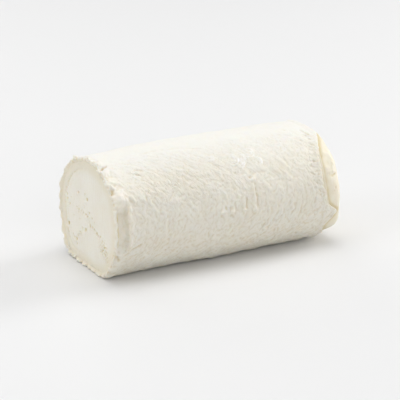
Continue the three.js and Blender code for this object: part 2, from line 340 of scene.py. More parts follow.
@dataclass
class Surface:
    """Places on a surface, flattened so that marks can be drawn on it.

    Attributes:
        flat: Two flat coordinates of each vertex, in millimetres.
        scale: What one unit of a mark's second coordinate measures, in millimetres.
    """

    flat: Array
    scale: float = 1.0

    REACH = 3.0
    NARROWEST = 0.35
    LOWEST = 0.25
    BREAK_SIZE = 1.7
    BREAK_SHARE = (0.15, 1.8)

    def flatten(self, place: tuple[float, float]) -> Array:
        """A mark's point in the surface's flat coordinates."""
        return np.array([place[0], place[1] * self.scale])

    def stroke(self, mark: Stroke) -> Array:
        """Works out the height that a stroke adds, thinner and lower towards its ends.

        Args:
            mark: The stroke.

        Returns:
            One height for each vertex.
        """
        path = [self.flatten(point) for point in mark.path]
        low = np.min(path, axis=0) - self.REACH * mark.width
        high = np.max(path, axis=0) + self.REACH * mark.width
        near = np.all((self.flat > low) & (self.flat < high), axis=1)
        result = np.zeros(len(self.flat))
        if not near.any():
            return result
        spots = self.flat[near]
        lengths = [float(np.linalg.norm(b - a)) for a, b in zip(path, path[1:])]
        total = sum(lengths)
        best = np.full(len(spots), np.inf)
        taper = np.zeros(len(spots))
        done = 0.0
        for (a, b), length in zip(zip(path, path[1:]), lengths):
            part = np.clip((spots - a) @ (b - a) / length**2, 0.0, 1.0)
            away = np.linalg.norm(spots - (a + part[:, None] * (b - a)), axis=1)
            along = (done + part * length) / total
            closer = away < best
            best = np.where(closer, away, best)
            taper = np.where(closer, np.sqrt(np.clip(4.0 * along * (1.0 - along), 0.0, 1.0)), taper)
            done += length
        width = mark.width * (self.NARROWEST + (1.0 - self.NARROWEST) * taper)
        result[near] = mark.height * (self.LOWEST + (1.0 - self.LOWEST) * taper) * bell(best, 0.0, width)
        return result

    def spot(self, mark: Spot) -> Array:
        """Height that a pit or knob adds at each vertex."""
        away = (self.flat - self.flatten(mark.place)) / np.array(mark.size)
        return mark.height * np.exp(-np.sum(away**2, axis=1))

    def draw(self, marks: list[Stroke | Spot]) -> Array:
        """Adds up the heights of many marks, with the strokes broken up as in soft skin.

        Args:
            marks: The marks.

        Returns:
            One height for each vertex.
        """
        breaks = GradientNoise(3)(np.column_stack([self.flat / self.BREAK_SIZE, np.zeros(len(self.flat))]))
        total = np.zeros(len(self.flat))
        for mark in marks:
            if isinstance(mark, Stroke):
                total += self.stroke(mark) * np.clip(0.85 + 1.7 * breaks, *self.BREAK_SHARE)
            else:
                total += self.spot(mark)
        return total


# Modelling helpers


def select_only(piece: bpy.types.Object) -> None:
    """Makes a piece the one selected and active object."""
    bpy.ops.object.select_all(action="DESELECT")
    piece.select_set(True)
    bpy.context.view_layer.objects.active = piece


def read_points(piece: bpy.types.Object) -> Array:
    """The piece's vertices in millimetres, one row each."""
    points = np.empty(len(piece.data.vertices) * 3)
    piece.data.vertices.foreach_get("co", points)
    return points.reshape(-1, 3) / MM


def write_points(piece: bpy.types.Object, points: Array) -> None:
    """Sets the piece's vertices from millimetres."""
    piece.data.vertices.foreach_set("co", (points * MM).ravel())
    piece.data.update()


def write_mask(piece: bpy.types.Object, name: str, values: Array) -> None:
    """Stores one value for each vertex, for the piece's material to read."""
    layer = piece.data.attributes.new(name, "FLOAT", "POINT")
    layer.data.foreach_set("value", values.astype(np.float32))


def write_flow(piece: bpy.types.Object, name: str, vectors: Array) -> None:
    """Stores one vector for each vertex, for the piece's material to read."""
    layer = piece.data.attributes.new(name, "FLOAT_VECTOR", "POINT")
    layer.data.foreach_set("vector", vectors.astype(np.float32).ravel())


def edge_points(piece: bpy.types.Object) -> tuple[Array, Array]:
    """Both ends of every edge, in millimetres."""
    ends = np.empty(len(piece.data.edges) * 2, dtype=np.int32)
    piece.data.edges.foreach_get("vertices", ends)
    points = read_points(piece)
    return points[ends[0::2]], points[ends[1::2]]


def select_edges(piece: bpy.types.Object, wanted: Test) -> None:
    """Selects the edges that a test picks, and leaves the piece in edit mode, in edge mode.

    Args:
        piece: The mesh object.
        wanted: Takes both ends of every edge and returns which edges are selected.
    """
    select_only(piece)
    bpy.ops.object.mode_set(mode="EDIT")
    bpy.ops.mesh.select_mode(type="EDGE")
    bpy.ops.mesh.select_all(action="DESELECT")
    bpy.ops.object.mode_set(mode="OBJECT")
    piece.data.edges.foreach_set("select", wanted(*edge_points(piece)))
    bpy.ops.object.mode_set(mode="EDIT")


def select_faces(piece: bpy.types.Object, wanted: Test) -> None:
    """Selects the faces that a test picks, and leaves the piece in edit mode, in face mode.

    Args:
        piece: The mesh object.
        wanted: Takes the faces' middles, in millimetres, and normals, and returns which are selected.
    """
    select_only(piece)
    bpy.ops.object.mode_set(mode="EDIT")
    bpy.ops.mesh.select_mode(type="FACE")
    bpy.ops.mesh.select_all(action="DESELECT")
    bpy.ops.object.mode_set(mode="OBJECT")
    count = len(piece.data.polygons)
    middles, normals = np.empty(count * 3), np.empty(count * 3)
    piece.data.polygons.foreach_get("center", middles)
    piece.data.polygons.foreach_get("normal", normals)
    picked = wanted(middles.reshape(-1, 3) / MM, normals.reshape(-1, 3))
    piece.data.polygons.foreach_set("select", picked)
    bpy.ops.object.mode_set(mode="EDIT")


def leave_edit() -> None:
    """Goes back to object mode."""
    bpy.ops.object.mode_set(mode="OBJECT")


def finish_piece(piece: bpy.types.Object, name: str, material: bpy.types.Material) -> bpy.types.Object:
    """Names, shades and dresses a finished piece, and ties it to the frame.

    Args:
        piece: The finished mesh object.
        name: Its name.
        material: Its one material.

    Returns:
        The same object.
    """
    piece.name = name
    piece.data.name = name
    select_only(piece)
    bpy.ops.object.shade_smooth()
    piece.data.materials.clear()
    piece.data.materials.append(material)
    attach(piece, BODY)
    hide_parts(NODE)
    log.info("%s: %d vertices, %d faces", name, len(piece.data.vertices), len(piece.data.polygons))
    return piece


# The rind


@dataclass
class RindSkin:
    """The white rind: the log's side, its ragged rim at the open end and its torn edge at the other.

    Attributes:
        form: The log's form.
        around: Vertices round the section, closest on the near side.
        coarse_cuts: Lengthwise cuts, first pass.
        fine_cuts: Cuts of each of those lengths.
        rim_rings: Cuts across the rim and its inner wall.
        tuck_rings: Cuts across the edge that is folded under at the other end.
    """

    form: LogForm
    around: int = 300
    coarse_cuts: int = 75
    fine_cuts: int = 3
    rim_rings: int = 15
    tuck_rings: int = 5
    rim_inner_share: float = 0.89
    tuck_share: float = 0.94
    near_middle: float = 35.0
    near_density: float = 0.3

    # Rim from the skin inwards: share, and depth behind the rim's crest
    RIM = (
        (0.990, 0.42),
        (0.976, 0.02),
        (0.964, 0.06),
        (0.952, 0.36),
        (0.936, 0.78),
        (0.916, 1.15),
        (0.890, 2.1),
    )

    def build(self, material: bpy.types.Material) -> bpy.types.Object:
        """Models, shapes and dresses the rind.

        Args:
            material: The rind's material.

        Returns:
            The finished piece.
        """
        piece = self._model()
        self._shape(piece)
        return finish_piece(piece, "rind_skin", material)

    def _model(self) -> bpy.types.Object:
        """Cuts a round bar into even rings, with rings across both ends too."""
        form = self.form
        piece = round_bar(self.around, form)
        for facing, inner in ((-1.0, self.rim_inner_share), (1.0, self.tuck_share)):
            select_faces(piece, lambda middles, normals, side=facing: normals[:, 0] * side > 0.9)
            bpy.ops.mesh.inset(thickness=form.mean_radius * (1.0 - inner) * MM)
            bpy.ops.mesh.poke()
            leave_edit()
        subdivide(piece, lambda a, b: self._across_end(a, b, -1.0), self.rim_rings)
        subdivide(piece, lambda a, b: self._across_end(a, b, 1.0), self.tuck_rings)
        subdivide(piece, runs_along, self.coarse_cuts)
        subdivide(piece, runs_along, self.fine_cuts)
        return piece

    def _across_end(self, a: Array, b: Array, facing: float) -> Array:
        """Picks the edges between an end's outer and inner rings."""
        on_end = (np.minimum(a[:, 0] * facing, b[:, 0] * facing)) > self.form.half_length - 0.01
        inner = np.minimum(np.hypot(a[:, 1], a[:, 2]), np.hypot(b[:, 1], b[:, 2]))
        outer = np.maximum(np.hypot(a[:, 1], a[:, 2]), np.hypot(b[:, 1], b[:, 2]))
        return on_end & (outer - inner > 1.0) & (inner > self.form.mean_radius / 2.0)

    def _shape(self, piece: bpy.types.Object) -> None:
        """Moves every vertex of the bar to its place on the log, and stores the masks."""
        form = self.form
        points = read_points(piece)
        radius = np.hypot(points[:, 1], points[:, 2]) / form.mean_radius
        even = np.degrees(np.arctan2(points[:, 2], -points[:, 1]))
        angle = even - np.degrees(self.near_density * np.sin(np.radians(even - self.near_middle)))
        on_rim = (points[:, 0] < -form.half_length + 0.01) & (radius < 0.9999)
        tucked = (points[:, 0] > form.half_length - 0.01) & (radius < 0.9999)
        side = ~on_rim & ~tucked
        share, x, depth = np.ones(len(points)), np.zeros(len(points)), np.zeros(len(points))

        x[side] = self._follow_edge(self._station(points[side, 0] / form.length + 0.5), angle[side])
        share[side] = form.shoulder_share(x[side]) - 0.01 * np.exp(-(x[side] + form.half_length) / 0.55)
        inward = (1.0 - radius[on_rim]) / (1.0 - self.rim_inner_share)
        share[on_rim], rim_depth = lay_along(self.RIM, inward, form.mean_radius)
        share[on_rim] *= np.clip(2.0 - inward, 0.0, 1.0) ** 0.01
        x[on_rim] = -form.half_length + rim_depth
        edge = ragged_edge(form, angle)
        x[tucked] = edge[tucked]
        inward = (1.0 - radius[tucked]) / (1.0 - self.tuck_share)
        share[tucked] = form.shoulder_share(x[tucked])
        depth[tucked] = np.interp(inward, (0.0, 0.25, 0.6, 1.0), (0.0, 0.35, 1.0, 2.2))
        back = np.interp(inward, (0.0, 0.25, 0.6, 1.0), (0.0, -0.12, 0.25, 2.0))
        centre = radius < 0.01

        y, z = form.on_section(share, form.swell(x, angle), angle)
        z = form.lifted(x, z)
        sculptor = SkinSculptor(form, x, angle, share, np.stack([x, y, z], axis=1))
        relief, push = sculptor.relief(on_rim)
        turn = np.radians(angle)
        held = np.clip(z / 1.6, 0.0, 1.0)
        lean = form.end_lean * (z - form.axis_height) * smooth(x, form.shoulder_x, form.half_length)
        radial = relief - depth
        y = y - radial * np.cos(turn) * np.where((z <= 0.0) & (depth <= 0.0), 0.0, 1.0)
        z = np.maximum(z + radial * np.sin(turn) * np.where(depth > 0.0, 1.0, held), 0.0)
        x = x + push - lean
        x[tucked] -= back
        y[centre], z[centre] = 0.0, form.axis_height
        write_points(piece, np.stack([x, y, z], axis=1))
        masks = sculptor.masks(on_rim)
        height = relief - push * on_rim - sculptor.pinch() * ~on_rim
        shallow, deep = hollow_mask(piece, height, 14, 0.22), hollow_mask(piece, height, 24, 1.0)
        # Painted shade: fine creases are painted darker, more so low on the near side
        lower = smooth(-angle, -30.0, 10.0) * (1.0 - smooth(-angle, 110.0, 150.0))
        masks["crease"] = shallow * (0.55 + 0.45 * lower)
        # Painted shade: a warm darker colour deep in creases and pits
        masks["painted_hollow_shade"] = deep
        for name, values in masks.items():
            write_mask(piece, name, values)
        write_flow(piece, "flow", sculptor.flow())

    def _station(self, along: Array) -> Array:
        """Spreads the even rings: close at the rim and at the rind's edge, wider between."""
        form = self.form
        places = (-form.half_length + 0.45, -form.half_length + 8.0, form.edge_x - 8.0, form.edge_x)
        return np.interp(along, (0.0, 0.105, 0.875, 1.0), places)

    def _follow_edge(self, x: Array, angle: Array) -> Array:
        """Bends the last rings so that they run along the rind's edge."""
        form = self.form
        offset = ragged_edge(form, angle) - form.edge_x
        return x + offset * smooth(x, form.edge_x - 10.0, form.edge_x)


def round_bar(around: int, form: LogForm) -> bpy.types.Object:
    """Adds a closed round bar along X, as long as the log.

    Args:
        around: Vertices round it.
        form: The log's form.

    Returns:
        The bar.
    """
    bpy.ops.object.select_all(action="DESELECT")
    bpy.ops.mesh.primitive_cylinder_add(
        vertices=around,
        radius=form.mean_radius * MM,
        depth=form.length * MM,
        end_fill_type="NGON",
        rotation=(0.0, math.pi / 2.0, 0.0),
    )
    piece = bpy.context.object
    bpy.ops.object.transform_apply(location=True, rotation=True, scale=True)
    return piece


def runs_along(a: Array, b: Array) -> Array:
    """Picks the edges that run along the log."""
    return np.abs(a[:, 0] - b[:, 0]) > 0.5


def subdivide(piece: bpy.types.Object, wanted: Test, cuts: int) -> None:
    """Cuts the picked edges, and the faces between them, into even rings.

    Args:
        piece: The mesh object.
        wanted: Picks the edges.
        cuts: How many cuts each edge gets.
    """
    select_edges(piece, wanted)
    bpy.ops.mesh.subdivide(number_cuts=cuts, quadcorner="INNERVERT")
    leave_edit()


def lay_along(profile: Profile, inward: Array, radius: float) -> tuple[Array, Array]:
    """Lays even rings at even distances along a profile.

    Args:
        profile: Share and depth of each corner.
        inward: 0 at the profile's start, 1 at its end.
        radius: Millimetres for a share of 1.

    Returns:
        The share and the depth of each ring.
    """
    shares, depths = np.array(profile).T
    steps = np.hypot(np.diff(shares) * radius, np.diff(depths))
    along = np.concatenate([[0.0], np.cumsum(steps)])
    where = np.clip(inward, 0.0, 1.0) * along[-1]
    return np.interp(where, along, shares), np.interp(where, along, depths)


def hollow_mask(piece: bpy.types.Object, height: Array, passes: int, depth: float) -> Array:
    """How far each vertex lies below the surface round it.

    Args:
        piece: The mesh object.
        height: Height of each vertex, in millimetres.
        passes: How often the surface is smoothed for comparison.
        depth: Depth in millimetres that counts as 1.

    Returns:
        A mask from 0 to 1.
    """
    ends = np.empty(len(piece.data.edges) * 2, dtype=np.int32)
    piece.data.edges.foreach_get("vertices", ends)
    a, b, size = ends[0::2], ends[1::2], len(height)
    count = np.bincount(a, minlength=size) + np.bincount(b, minlength=size)
    smoothed = height
    for _ in range(passes):
        total = np.bincount(a, smoothed[b], size) + np.bincount(b, smoothed[a], size)
        smoothed = 0.5 * smoothed + 0.5 * total / count
    return np.clip((smoothed - height) / depth, 0.0, 1.0)


def ragged_edge(form: LogForm, angle: Array) -> Array:
    """Works out where the rind ends, with its small tears.

    Args:
        form: The log's form.
        angle: Where round the log.

    Returns:
        The place along the log.
    """
    turn = np.radians(angle)
    ring = np.stack([np.cos(turn), np.sin(turn), np.zeros_like(turn)], axis=1) * form.mean_radius
    tears = GradientNoise(63)
    return form.rind_edge(angle) + 0.8 * tears(ring / 4.2) + 0.5 * tears(ring / 1.7 + 3.0)


@dataclass
class SkinSculptor:
    """Relief and masks of the rind.

    Attributes:
        form: The log's form.
        x: Place of each vertex along the log.
        angle: Angle of each vertex round the log.
        share: Share of the section.
        points: Place of each vertex on the plain form.
    """

    form: LogForm
    x: Array
    angle: Array
    share: Array
    points: Array
    lumps: GradientNoise = field(default_factory=lambda: GradientNoise(11))
    grain: GradientNoise = field(default_factory=lambda: GradientNoise(23))
    crumble: GradientNoise = field(default_factory=lambda: GradientNoise(37))

    FLOW_MIDDLE = 7.0
    FLOW_SLOPE = 1.35

    @property
    def arc(self) -> float:
        """Millimetres of skin for each degree round the log."""
        return self.form.mean_radius * math.pi / 180.0

    @property
    def from_rim(self) -> Array:
        """Distance along the log from the rim."""
        return self.x + self.form.half_length

    def surface(self) -> Surface:
        """The side, rolled out flat."""
        flat = np.stack([self.x, turn_between(self.angle, 0.0) * self.arc], axis=1)
        drift = [0.75 * self.lumps(self.points / 2.6 + shift) for shift in (11.0, 19.0)]
        return Surface(flat + np.stack(drift, axis=1), self.arc)

    def flow(self) -> Array:
        """Coordinates in which the skin's creases run straight: the first goes across the creases,
        and the other two go round the log."""
        turn = np.radians(self.angle - self.FLOW_MIDDLE)
        radius = self.form.mean_radius
        bend = self.FLOW_SLOPE * radius * (1.0 - np.cos(turn))
        reach = radius * np.where(self.share < 0.97, self.share, 1.0)
        full = np.radians(self.angle)
        return np.stack([self.x + bend, -reach * np.cos(full), reach * np.sin(full)], axis=1)

    def relief(self, on_rim: Array) -> tuple[Array, Array]:
        """Works out how far every vertex moves.

        Args:
            on_rim: Vertices of the rim and its inner wall.

        Returns:
            How far out of the surface, and how far along the log.
        """
        side = 1.0 - on_rim
        outer = np.clip((self.share - 0.93) / 0.05, 0.0, 1.0)
        total = side * (self._creases() + self.pinch() + self._lip() + self.surface().draw(skin_marks()))
        total = total + np.where(on_rim, outer, 1.0) * (self._swellings() + self._rim_swell())
        return total, self._rim_push(on_rim)

    def _swellings(self) -> Array:
        """Broad soft unevenness of the whole log."""
        calm = 1.0 - 0.5 * smooth(self.x, self.form.edge_x - 6.0, self.form.edge_x)
        broad = 0.5 * self.lumps(self.points / 17.0) + 0.30 * self.lumps(self.points / 6.5 + 5.0)
        bulge = 0.55 * bell(self.x, -1.0, 8.0) * angle_bell(self.angle, -55, 11)
        return broad * calm + bulge

    def _creases(self) -> Array:
        """Crinkles that run round the near side, bending back towards the top and the foot."""
        flow = self.flow() + self._wander()
        first = self._crinkle(flow, 1.35, 2.2, 0.32)
        second = self._crinkle(flow + 40.0, 2.3, 3.6, 0.36)
        bands = self.grain(flow * np.array([1.0 / 2.2, 1.0 / 8.0, 1.0 / 8.0]) + 9.0)
        speck = self.grain(self.points / 0.8 + 3.0)
        far_side = smooth(np.abs(self.angle), 110.0, 150.0)
        near_side = 1.0 - far_side
        body = smooth(self.from_rim, 2.0, 6.0) * (1.0 - 0.85 * smooth(self.angle, 66.0, 80.0) * near_side)
        low = 0.9 * smooth(-self.angle, 0.0, 32.0) - 0.3 * smooth(self.angle, 36.0, 60.0)
        low = 1.0 + low * near_side
        net, ribs = self._net_zone(), self._rib_zone()
        calm = 1.0 - 0.35 * bell(self.x, 6.0, 13.0) * angle_bell(self.angle, 35, 22)
        depth = calm * ((0.27 + 0.09 * net) * first + (0.22 + 0.05 * net) * second)
        return body * low * (depth + (0.10 + 0.15 * ribs) * bands) + 0.12 * speck * (0.4 + 0.6 * body)

    def _wander(self) -> Array:
        """Sideways drift of the creases, which makes them wavy."""
        drift = [2.1 * self.lumps(self.points / 3.1 + shift) for shift in (31.0, 57.0, 83.0)]
        return np.stack(drift, axis=1)

    def _crinkle(self, flow: Array, across: float, along: float, width: float) -> Array:
        """Puffed ridges with sharp valleys between them, from -1 in a valley to 0.

        Args:
            flow: The skin's flow coordinates.
            across: Mean distance between valleys.
            along: Mean length of a valley.
            width: Share of that distance that a valley takes.

        Returns:
            One value for each vertex.
        """
        value = self.grain(flow / np.array([across, along, along]))
        return np.sqrt(np.clip(np.abs(value) / width, 0.0, 1.0)) - 1.0

    def _net_zone(self) -> Array:
        """Where the skin is finely crazed: the left half of the near side, above its middle."""
        return band(self.x, (-44.0, -36.0), (0.0, 22.0)) * angle_bell(self.angle, 36, 27)

    def _rib_zone(self) -> Array:
        """Where ribs run round the log: the near side's middle and right."""
        along = band(self.x, (-16.0, 2.0), (37.0, 42.0)) + 0.55 * bell(self.x, -31.0, 7.0)
        return along * angle_bell(self.angle, 0, 26)

    def pinch(self) -> Array:
        """The rind beside the rim, pinched into a channel with a sharp ridge beyond it."""
        places = (0.0, 0.8, 1.2, 2.2, 4.3, 5.2, 5.9, 6.7, 8.0, 9.8)
        heights = (0.45, 0.45, -0.7, -1.7, -2.2, -1.9, 0.1, 0.6, 0.05, 0.0)
        ends = smooth(self.angle, -21.0, -14.0) * (1.0 - smooth(self.angle, 19.0, 25.0))
        wander = self.crumble(np.stack([self.angle / 6.0, 0.0 * self.x, 0.0 * self.x + 4.0], axis=1))
        return ends * np.interp(self.from_rim + 0.9 * wander, places, heights)

    def _lip(self) -> Array:
        """The rind's lip, swollen and uneven along its torn edge."""
        past = self.x - ragged_edge(self.form, self.angle)
        rough = 1.0 + 1.2 * self.grain(self.points / 1.6 + 8.0)
        firm = 1.0 - 0.75 * angle_bell(self.angle, -10, 9)
        return 0.5 * rough * firm * bell(past, -0.3, 1.3)

    def _rim_teeth(self) -> Array:
        """Ragged teeth round the rim, from about -1 to 1."""
        turn = np.radians(self.angle)
        ring = np.stack([np.cos(turn), np.sin(turn), np.zeros_like(turn)], axis=1) * self.form.mean_radius
        return 1.4 * self.crumble(ring / 2.5) + 0.6 * self.crumble(ring / 1.3 + 6.0)

    def _calm_rim(self) -> Array:
        """Where the rim is cut clean, beside the pinched channel."""
        return smooth(self.angle, -18.0, -10.0) * (1.0 - smooth(self.angle, 18.0, 24.0))

    def _rim_swell(self) -> Array:
        """Crumbly swellings of the skin beside the rim, widest high on the near side."""
        reach = 5.0 + 4.0 * angle_bell(self.angle, 50, 16)
        beside = 1.0 - smooth(self.from_rim, 0.3 * reach, reach)
        rough = self.crumble(self.points / 2.7 + 2.0) + 0.5 * self.crumble(self.points / 1.3)
        return beside * (1.0 - 0.85 * self._calm_rim()) * (0.35 * self._rim_teeth() + rough)

    def _rim_push(self, on_rim: Array) -> Array:
        """How far the rim's teeth stand out of the end's plane or back from it."""
        crest = np.clip((self.share - 0.915) / 0.05, 0.0, 1.0)
        beside = np.where(on_rim, crest, 1.0 - smooth(self.from_rim, 0.4, 4.5))
        far = 1.0 + 0.15 * angle_bell(self.angle, 190, 50)
        return beside * far * (1.0 - 0.75 * self._calm_rim()) * (0.25 - 0.75 * self._rim_teeth())

    def masks(self, on_rim: Array) -> dict[str, Array]:
        """Values for the material.

        Args:
            on_rim: Vertices of the rim and its inner wall.

        Returns:
            One value for each vertex, by name.
        """
        inner = np.where(on_rim, 1.0 - np.clip((self.share - 0.948) / 0.02, 0.0, 1.0), 0.0)
        wet = angle_bell(self.angle, 53, 12) * smooth(self.x, -14.0, 0.0)
        wet = wet * (1.0 - smooth(self.x, 32.0, 42.0))
        # Painted light: the lit top is painted whiter and less yellow.
        painted_top_light = smooth(self.angle, 38.0, 72.0) * (1.0 - smooth(self.angle, 110.0, 150.0))
        return {
            "inner": inner,
            "wet": wet * (1.0 - on_rim),
            "net": self._net_zone() * (1.0 - on_rim),
            "painted_top_light": painted_top_light * (1.0 - on_rim),
            # Painted highlight: the crests of the glossy curls are painted whiter as glints
            "painted_glint": np.clip(self.surface().draw(curls()) / 0.25, 0.0, 1.0) * (1.0 - on_rim),
        }


def skin_marks() -> list[Stroke | Spot]:
    """Creases, ridges, knobs, pits and tears of the skin, each where the real log has it."""
    marks: list[Stroke | Spot] = [
        # Split in the rim, and the torn holes at both ends of the pinched channel
        Stroke(((-53.0, 62.0), (-51.6, 63.4), (-49.6, 65.6), (-46.4, 69.4)), 0.5, -1.5),
        Spot((-49.6, 60.0), (1.9, 1.5), 0.7),
        Spot((-51.2, 56.0), (0.9, 1.2), 0.8),
        Spot((-50.6, 50.6), (1.1, 1.1), 0.9),
        Spot((-50.2, 44.4), (0.9, 1.2), 0.8),
        Spot((-50.6, 73.0), (1.3, 1.8), 0.5),
        Spot((-51.0, 87.0), (1.5, 2.6), 0.45),
        Spot((-51.4, 117.0), (1.4, 1.6), 0.9),
        Spot((-50.2, 38.0), (0.9, 1.3), -1.9),
        Spot((-50.2, -25.5), (1.4, 1.2), -2.6),
        Spot((-48.4, -29.0), (0.8, 0.7), -0.9),
        Spot((-49.6, -21.0), (1.2, 0.9), 0.6),
        # The boulder above the channel, and the folds that fan out of it
        Spot((-47.9, 31.5), (1.9, 2.4), 1.25),
        Spot((-49.7, 26.5), (0.9, 1.4), 0.7),
        Spot((-45.2, 28.5), (0.8, 0.9), 0.55),
        Stroke(((-45.6, 36.5), (-42.8, 31.0), (-41.4, 24.0)), 0.6, 0.42),
        Stroke(((-44.6, 29.5), (-42.6, 26.5), (-41.6, 22.5)), 0.5, -0.35),
        Stroke(((-45.8, 40.0), (-41.5, 41.5), (-37.0, 41.0)), 0.55, 0.25),
        Stroke(((-44.8, 24.0), (-43.0, 18.0), (-42.4, 10.0)), 0.5, 0.28),
        # Tear inside the channel and the creases below it
        Spot((-49.8, 5.6), (0.5, 0.5), -0.4),
        Spot((-49.1, -2.2), (0.7, 0.5), -0.5),
        Spot((-49.9, -5.0), (0.5, 0.8), 0.35),
        Spot((-50.2, -10.6), (0.6, 0.6), -0.5),
        Stroke(((-44.6, -18.5), (-41.6, -15.0), (-38.4, -13.2)), 0.42, -0.6),
        Stroke(((-44.4, -26.5), (-41.0, -24.0), (-38.6, -23.0)), 0.42, -0.45),
        Stroke(((-46.6, -23.5), (-43.6, -21.0)), 0.4, -0.4),
        # Long crease on the top, and the dashes below it
        Stroke(((-34.0, 76.5), (-25.6, 77.9), (-14.4, 75.7), (-5.0, 68.5)), 0.45, -0.16),
        Stroke(((-40.5, 70.3), (-37.6, 64.5)), 0.4, -0.2),
        Stroke(((-37.2, 57.6), (-33.0, 55.2)), 0.4, -0.42),
        Stroke(((-37.8, 53.0), (-35.0, 51.5)), 0.4, -0.35),
        # Wavy crease under the glossy skin
        Stroke(
            ((-6.5, 53.5), (-3.2, 45.7), (3.3, 37.1), (8.4, 35.2), (14.5, 33.9), (22.0, 28.0)), 0.6, -0.18
        ),
        # Long ridges round the near side
        Stroke(((-30.4, 21.0), (-29.8, 8.0), (-29.4, -6.0), (-29.6, -24.0)), 0.6, 0.2),
        Stroke(((-29.2, 19.0), (-28.6, 6.0), (-28.3, -16.0)), 0.6, -0.13),
        Stroke(((-35.7, 19.5), (-34.2, 10.0), (-34.0, 0.0)), 0.6, 0.16),
        # Pits
        Spot((1.1, -24.3), (0.45, 0.5), -0.6),
        Spot((29.5, -20.2), (0.45, 0.8), -0.3),
        Spot((33.8, 77.0), (0.8, 0.3), -0.35),
        # Short crack at the top, just inside the rind's edge
        Stroke(((40.6, 74.0), (43.4, 66.0)), 0.42, -0.8),
    ]
    return marks + pressed_ridges() + ribs() + gathers() + curls()


def pressed_ridges() -> list[Stroke | Spot]:
    """A row of small ridges pressed out of the near side, each ending in a knob."""
    row = ((-4.9, 3.8, 9.0), (-0.5, 3.0, 12.0), (4.4, 2.6, 15.0), (9.3, 1.3, 25.0))
    marks: list[Stroke | Spot] = []
    for x, foot, top in row:
        marks.append(Stroke(((x, foot), (x + 0.1, top)), 0.5, 0.42))
        marks.append(Stroke(((x + 1.05, foot + 1.0), (x + 1.1, top)), 0.45, -0.4))
        marks.append(Spot((x, foot), (0.75, 0.8), 1.1))
        marks.append(Spot((x, foot - 3.6), (1.1, 0.8), -0.14))
    marks.append(Spot((10.3, 28.8), (0.8, 0.7), 0.9))
    marks.append(Spot((9.0, 31.8), (0.9, 0.7), -0.4))
    return marks


def ribs() -> list[Stroke | Spot]:
    """Ribs that run round the right half of the near side."""
    random = np.random.default_rng(5)
    marks: list[Stroke | Spot] = []
    for x in np.arange(12.5, 38.0, 2.1):
        x = x + random.uniform(-0.5, 0.5)
        top = 22.0 - 0.35 * abs(x - 22.0) + random.uniform(-6.0, 5.0)
        foot = -12.0 + random.uniform(-10.0, 9.0)
        bow = random.uniform(0.3, 1.2)
        path = ((x - 0.8, top), (x + bow, (top + foot) / 2.0 + 2.0), (x - 0.9, foot))
        marks.append(Stroke(path, 0.5, random.uniform(0.04, 0.18)))
        shifted = tuple((px + 1.0, angle) for px, angle in path)
        marks.append(Stroke(shifted, 0.42, -random.uniform(0.03, 0.16)))
    return marks


def gathers() -> list[Stroke | Spot]:
    """Short folds where the rind is drawn in at its edge, running back along the log."""
    random = np.random.default_rng(9)
    marks: list[Stroke | Spot] = []
    for angle in np.arange(62.0, 2.0, -3.3):
        angle = angle + random.uniform(-0.7, 0.7)
        edge = 42.6 + 1.5 * math.exp(-(((angle - 62.0) / 18.0) ** 2))
        edge = edge - 1.6 * math.exp(-(((angle - 20.0) / 20.0) ** 2)) - random.uniform(0.0, 1.6)
        length = random.uniform(2.0, 5.5)
        drift = random.uniform(1.0, 6.0)
        start = edge - length
        path = ((start, angle + drift), ((start + edge) / 2.0, angle + 0.35 * drift), (edge, angle))
        marks.append(Stroke(path, 0.36, -random.uniform(0.15, 0.45)))
        beside = tuple((x, place + 1.6) for x, place in path)
        marks.append(Stroke(beside, 0.42, random.uniform(0.08, 0.24)))
    return marks


def curls() -> list[Stroke | Spot]:
    """Looped curls in the glossy skin high on the near side."""
    loops = (
        (4.0, 51.5, 2.6),
        (6.9, 46.2, 1.9),
        (12.4, 55.6, 2.2),
        (8.9, 52.0, 1.4),
        (14.6, 45.5, 1.7),
        (-4.4, 56.5, 1.4),
    )
    marks: list[Stroke | Spot] = []
    for x, angle, radius in loops:
        for ring, height in ((1.0, 0.24), (0.52, 0.2)):
            reach = radius * ring
            arc = np.radians(np.linspace(-150.0, 120.0, 9))
            path = tuple((x + reach * math.cos(a), angle + reach * math.sin(a) / 0.42) for a in arc)
            marks.append(Stroke(path, 0.34, height))
    return marks


# The folded end


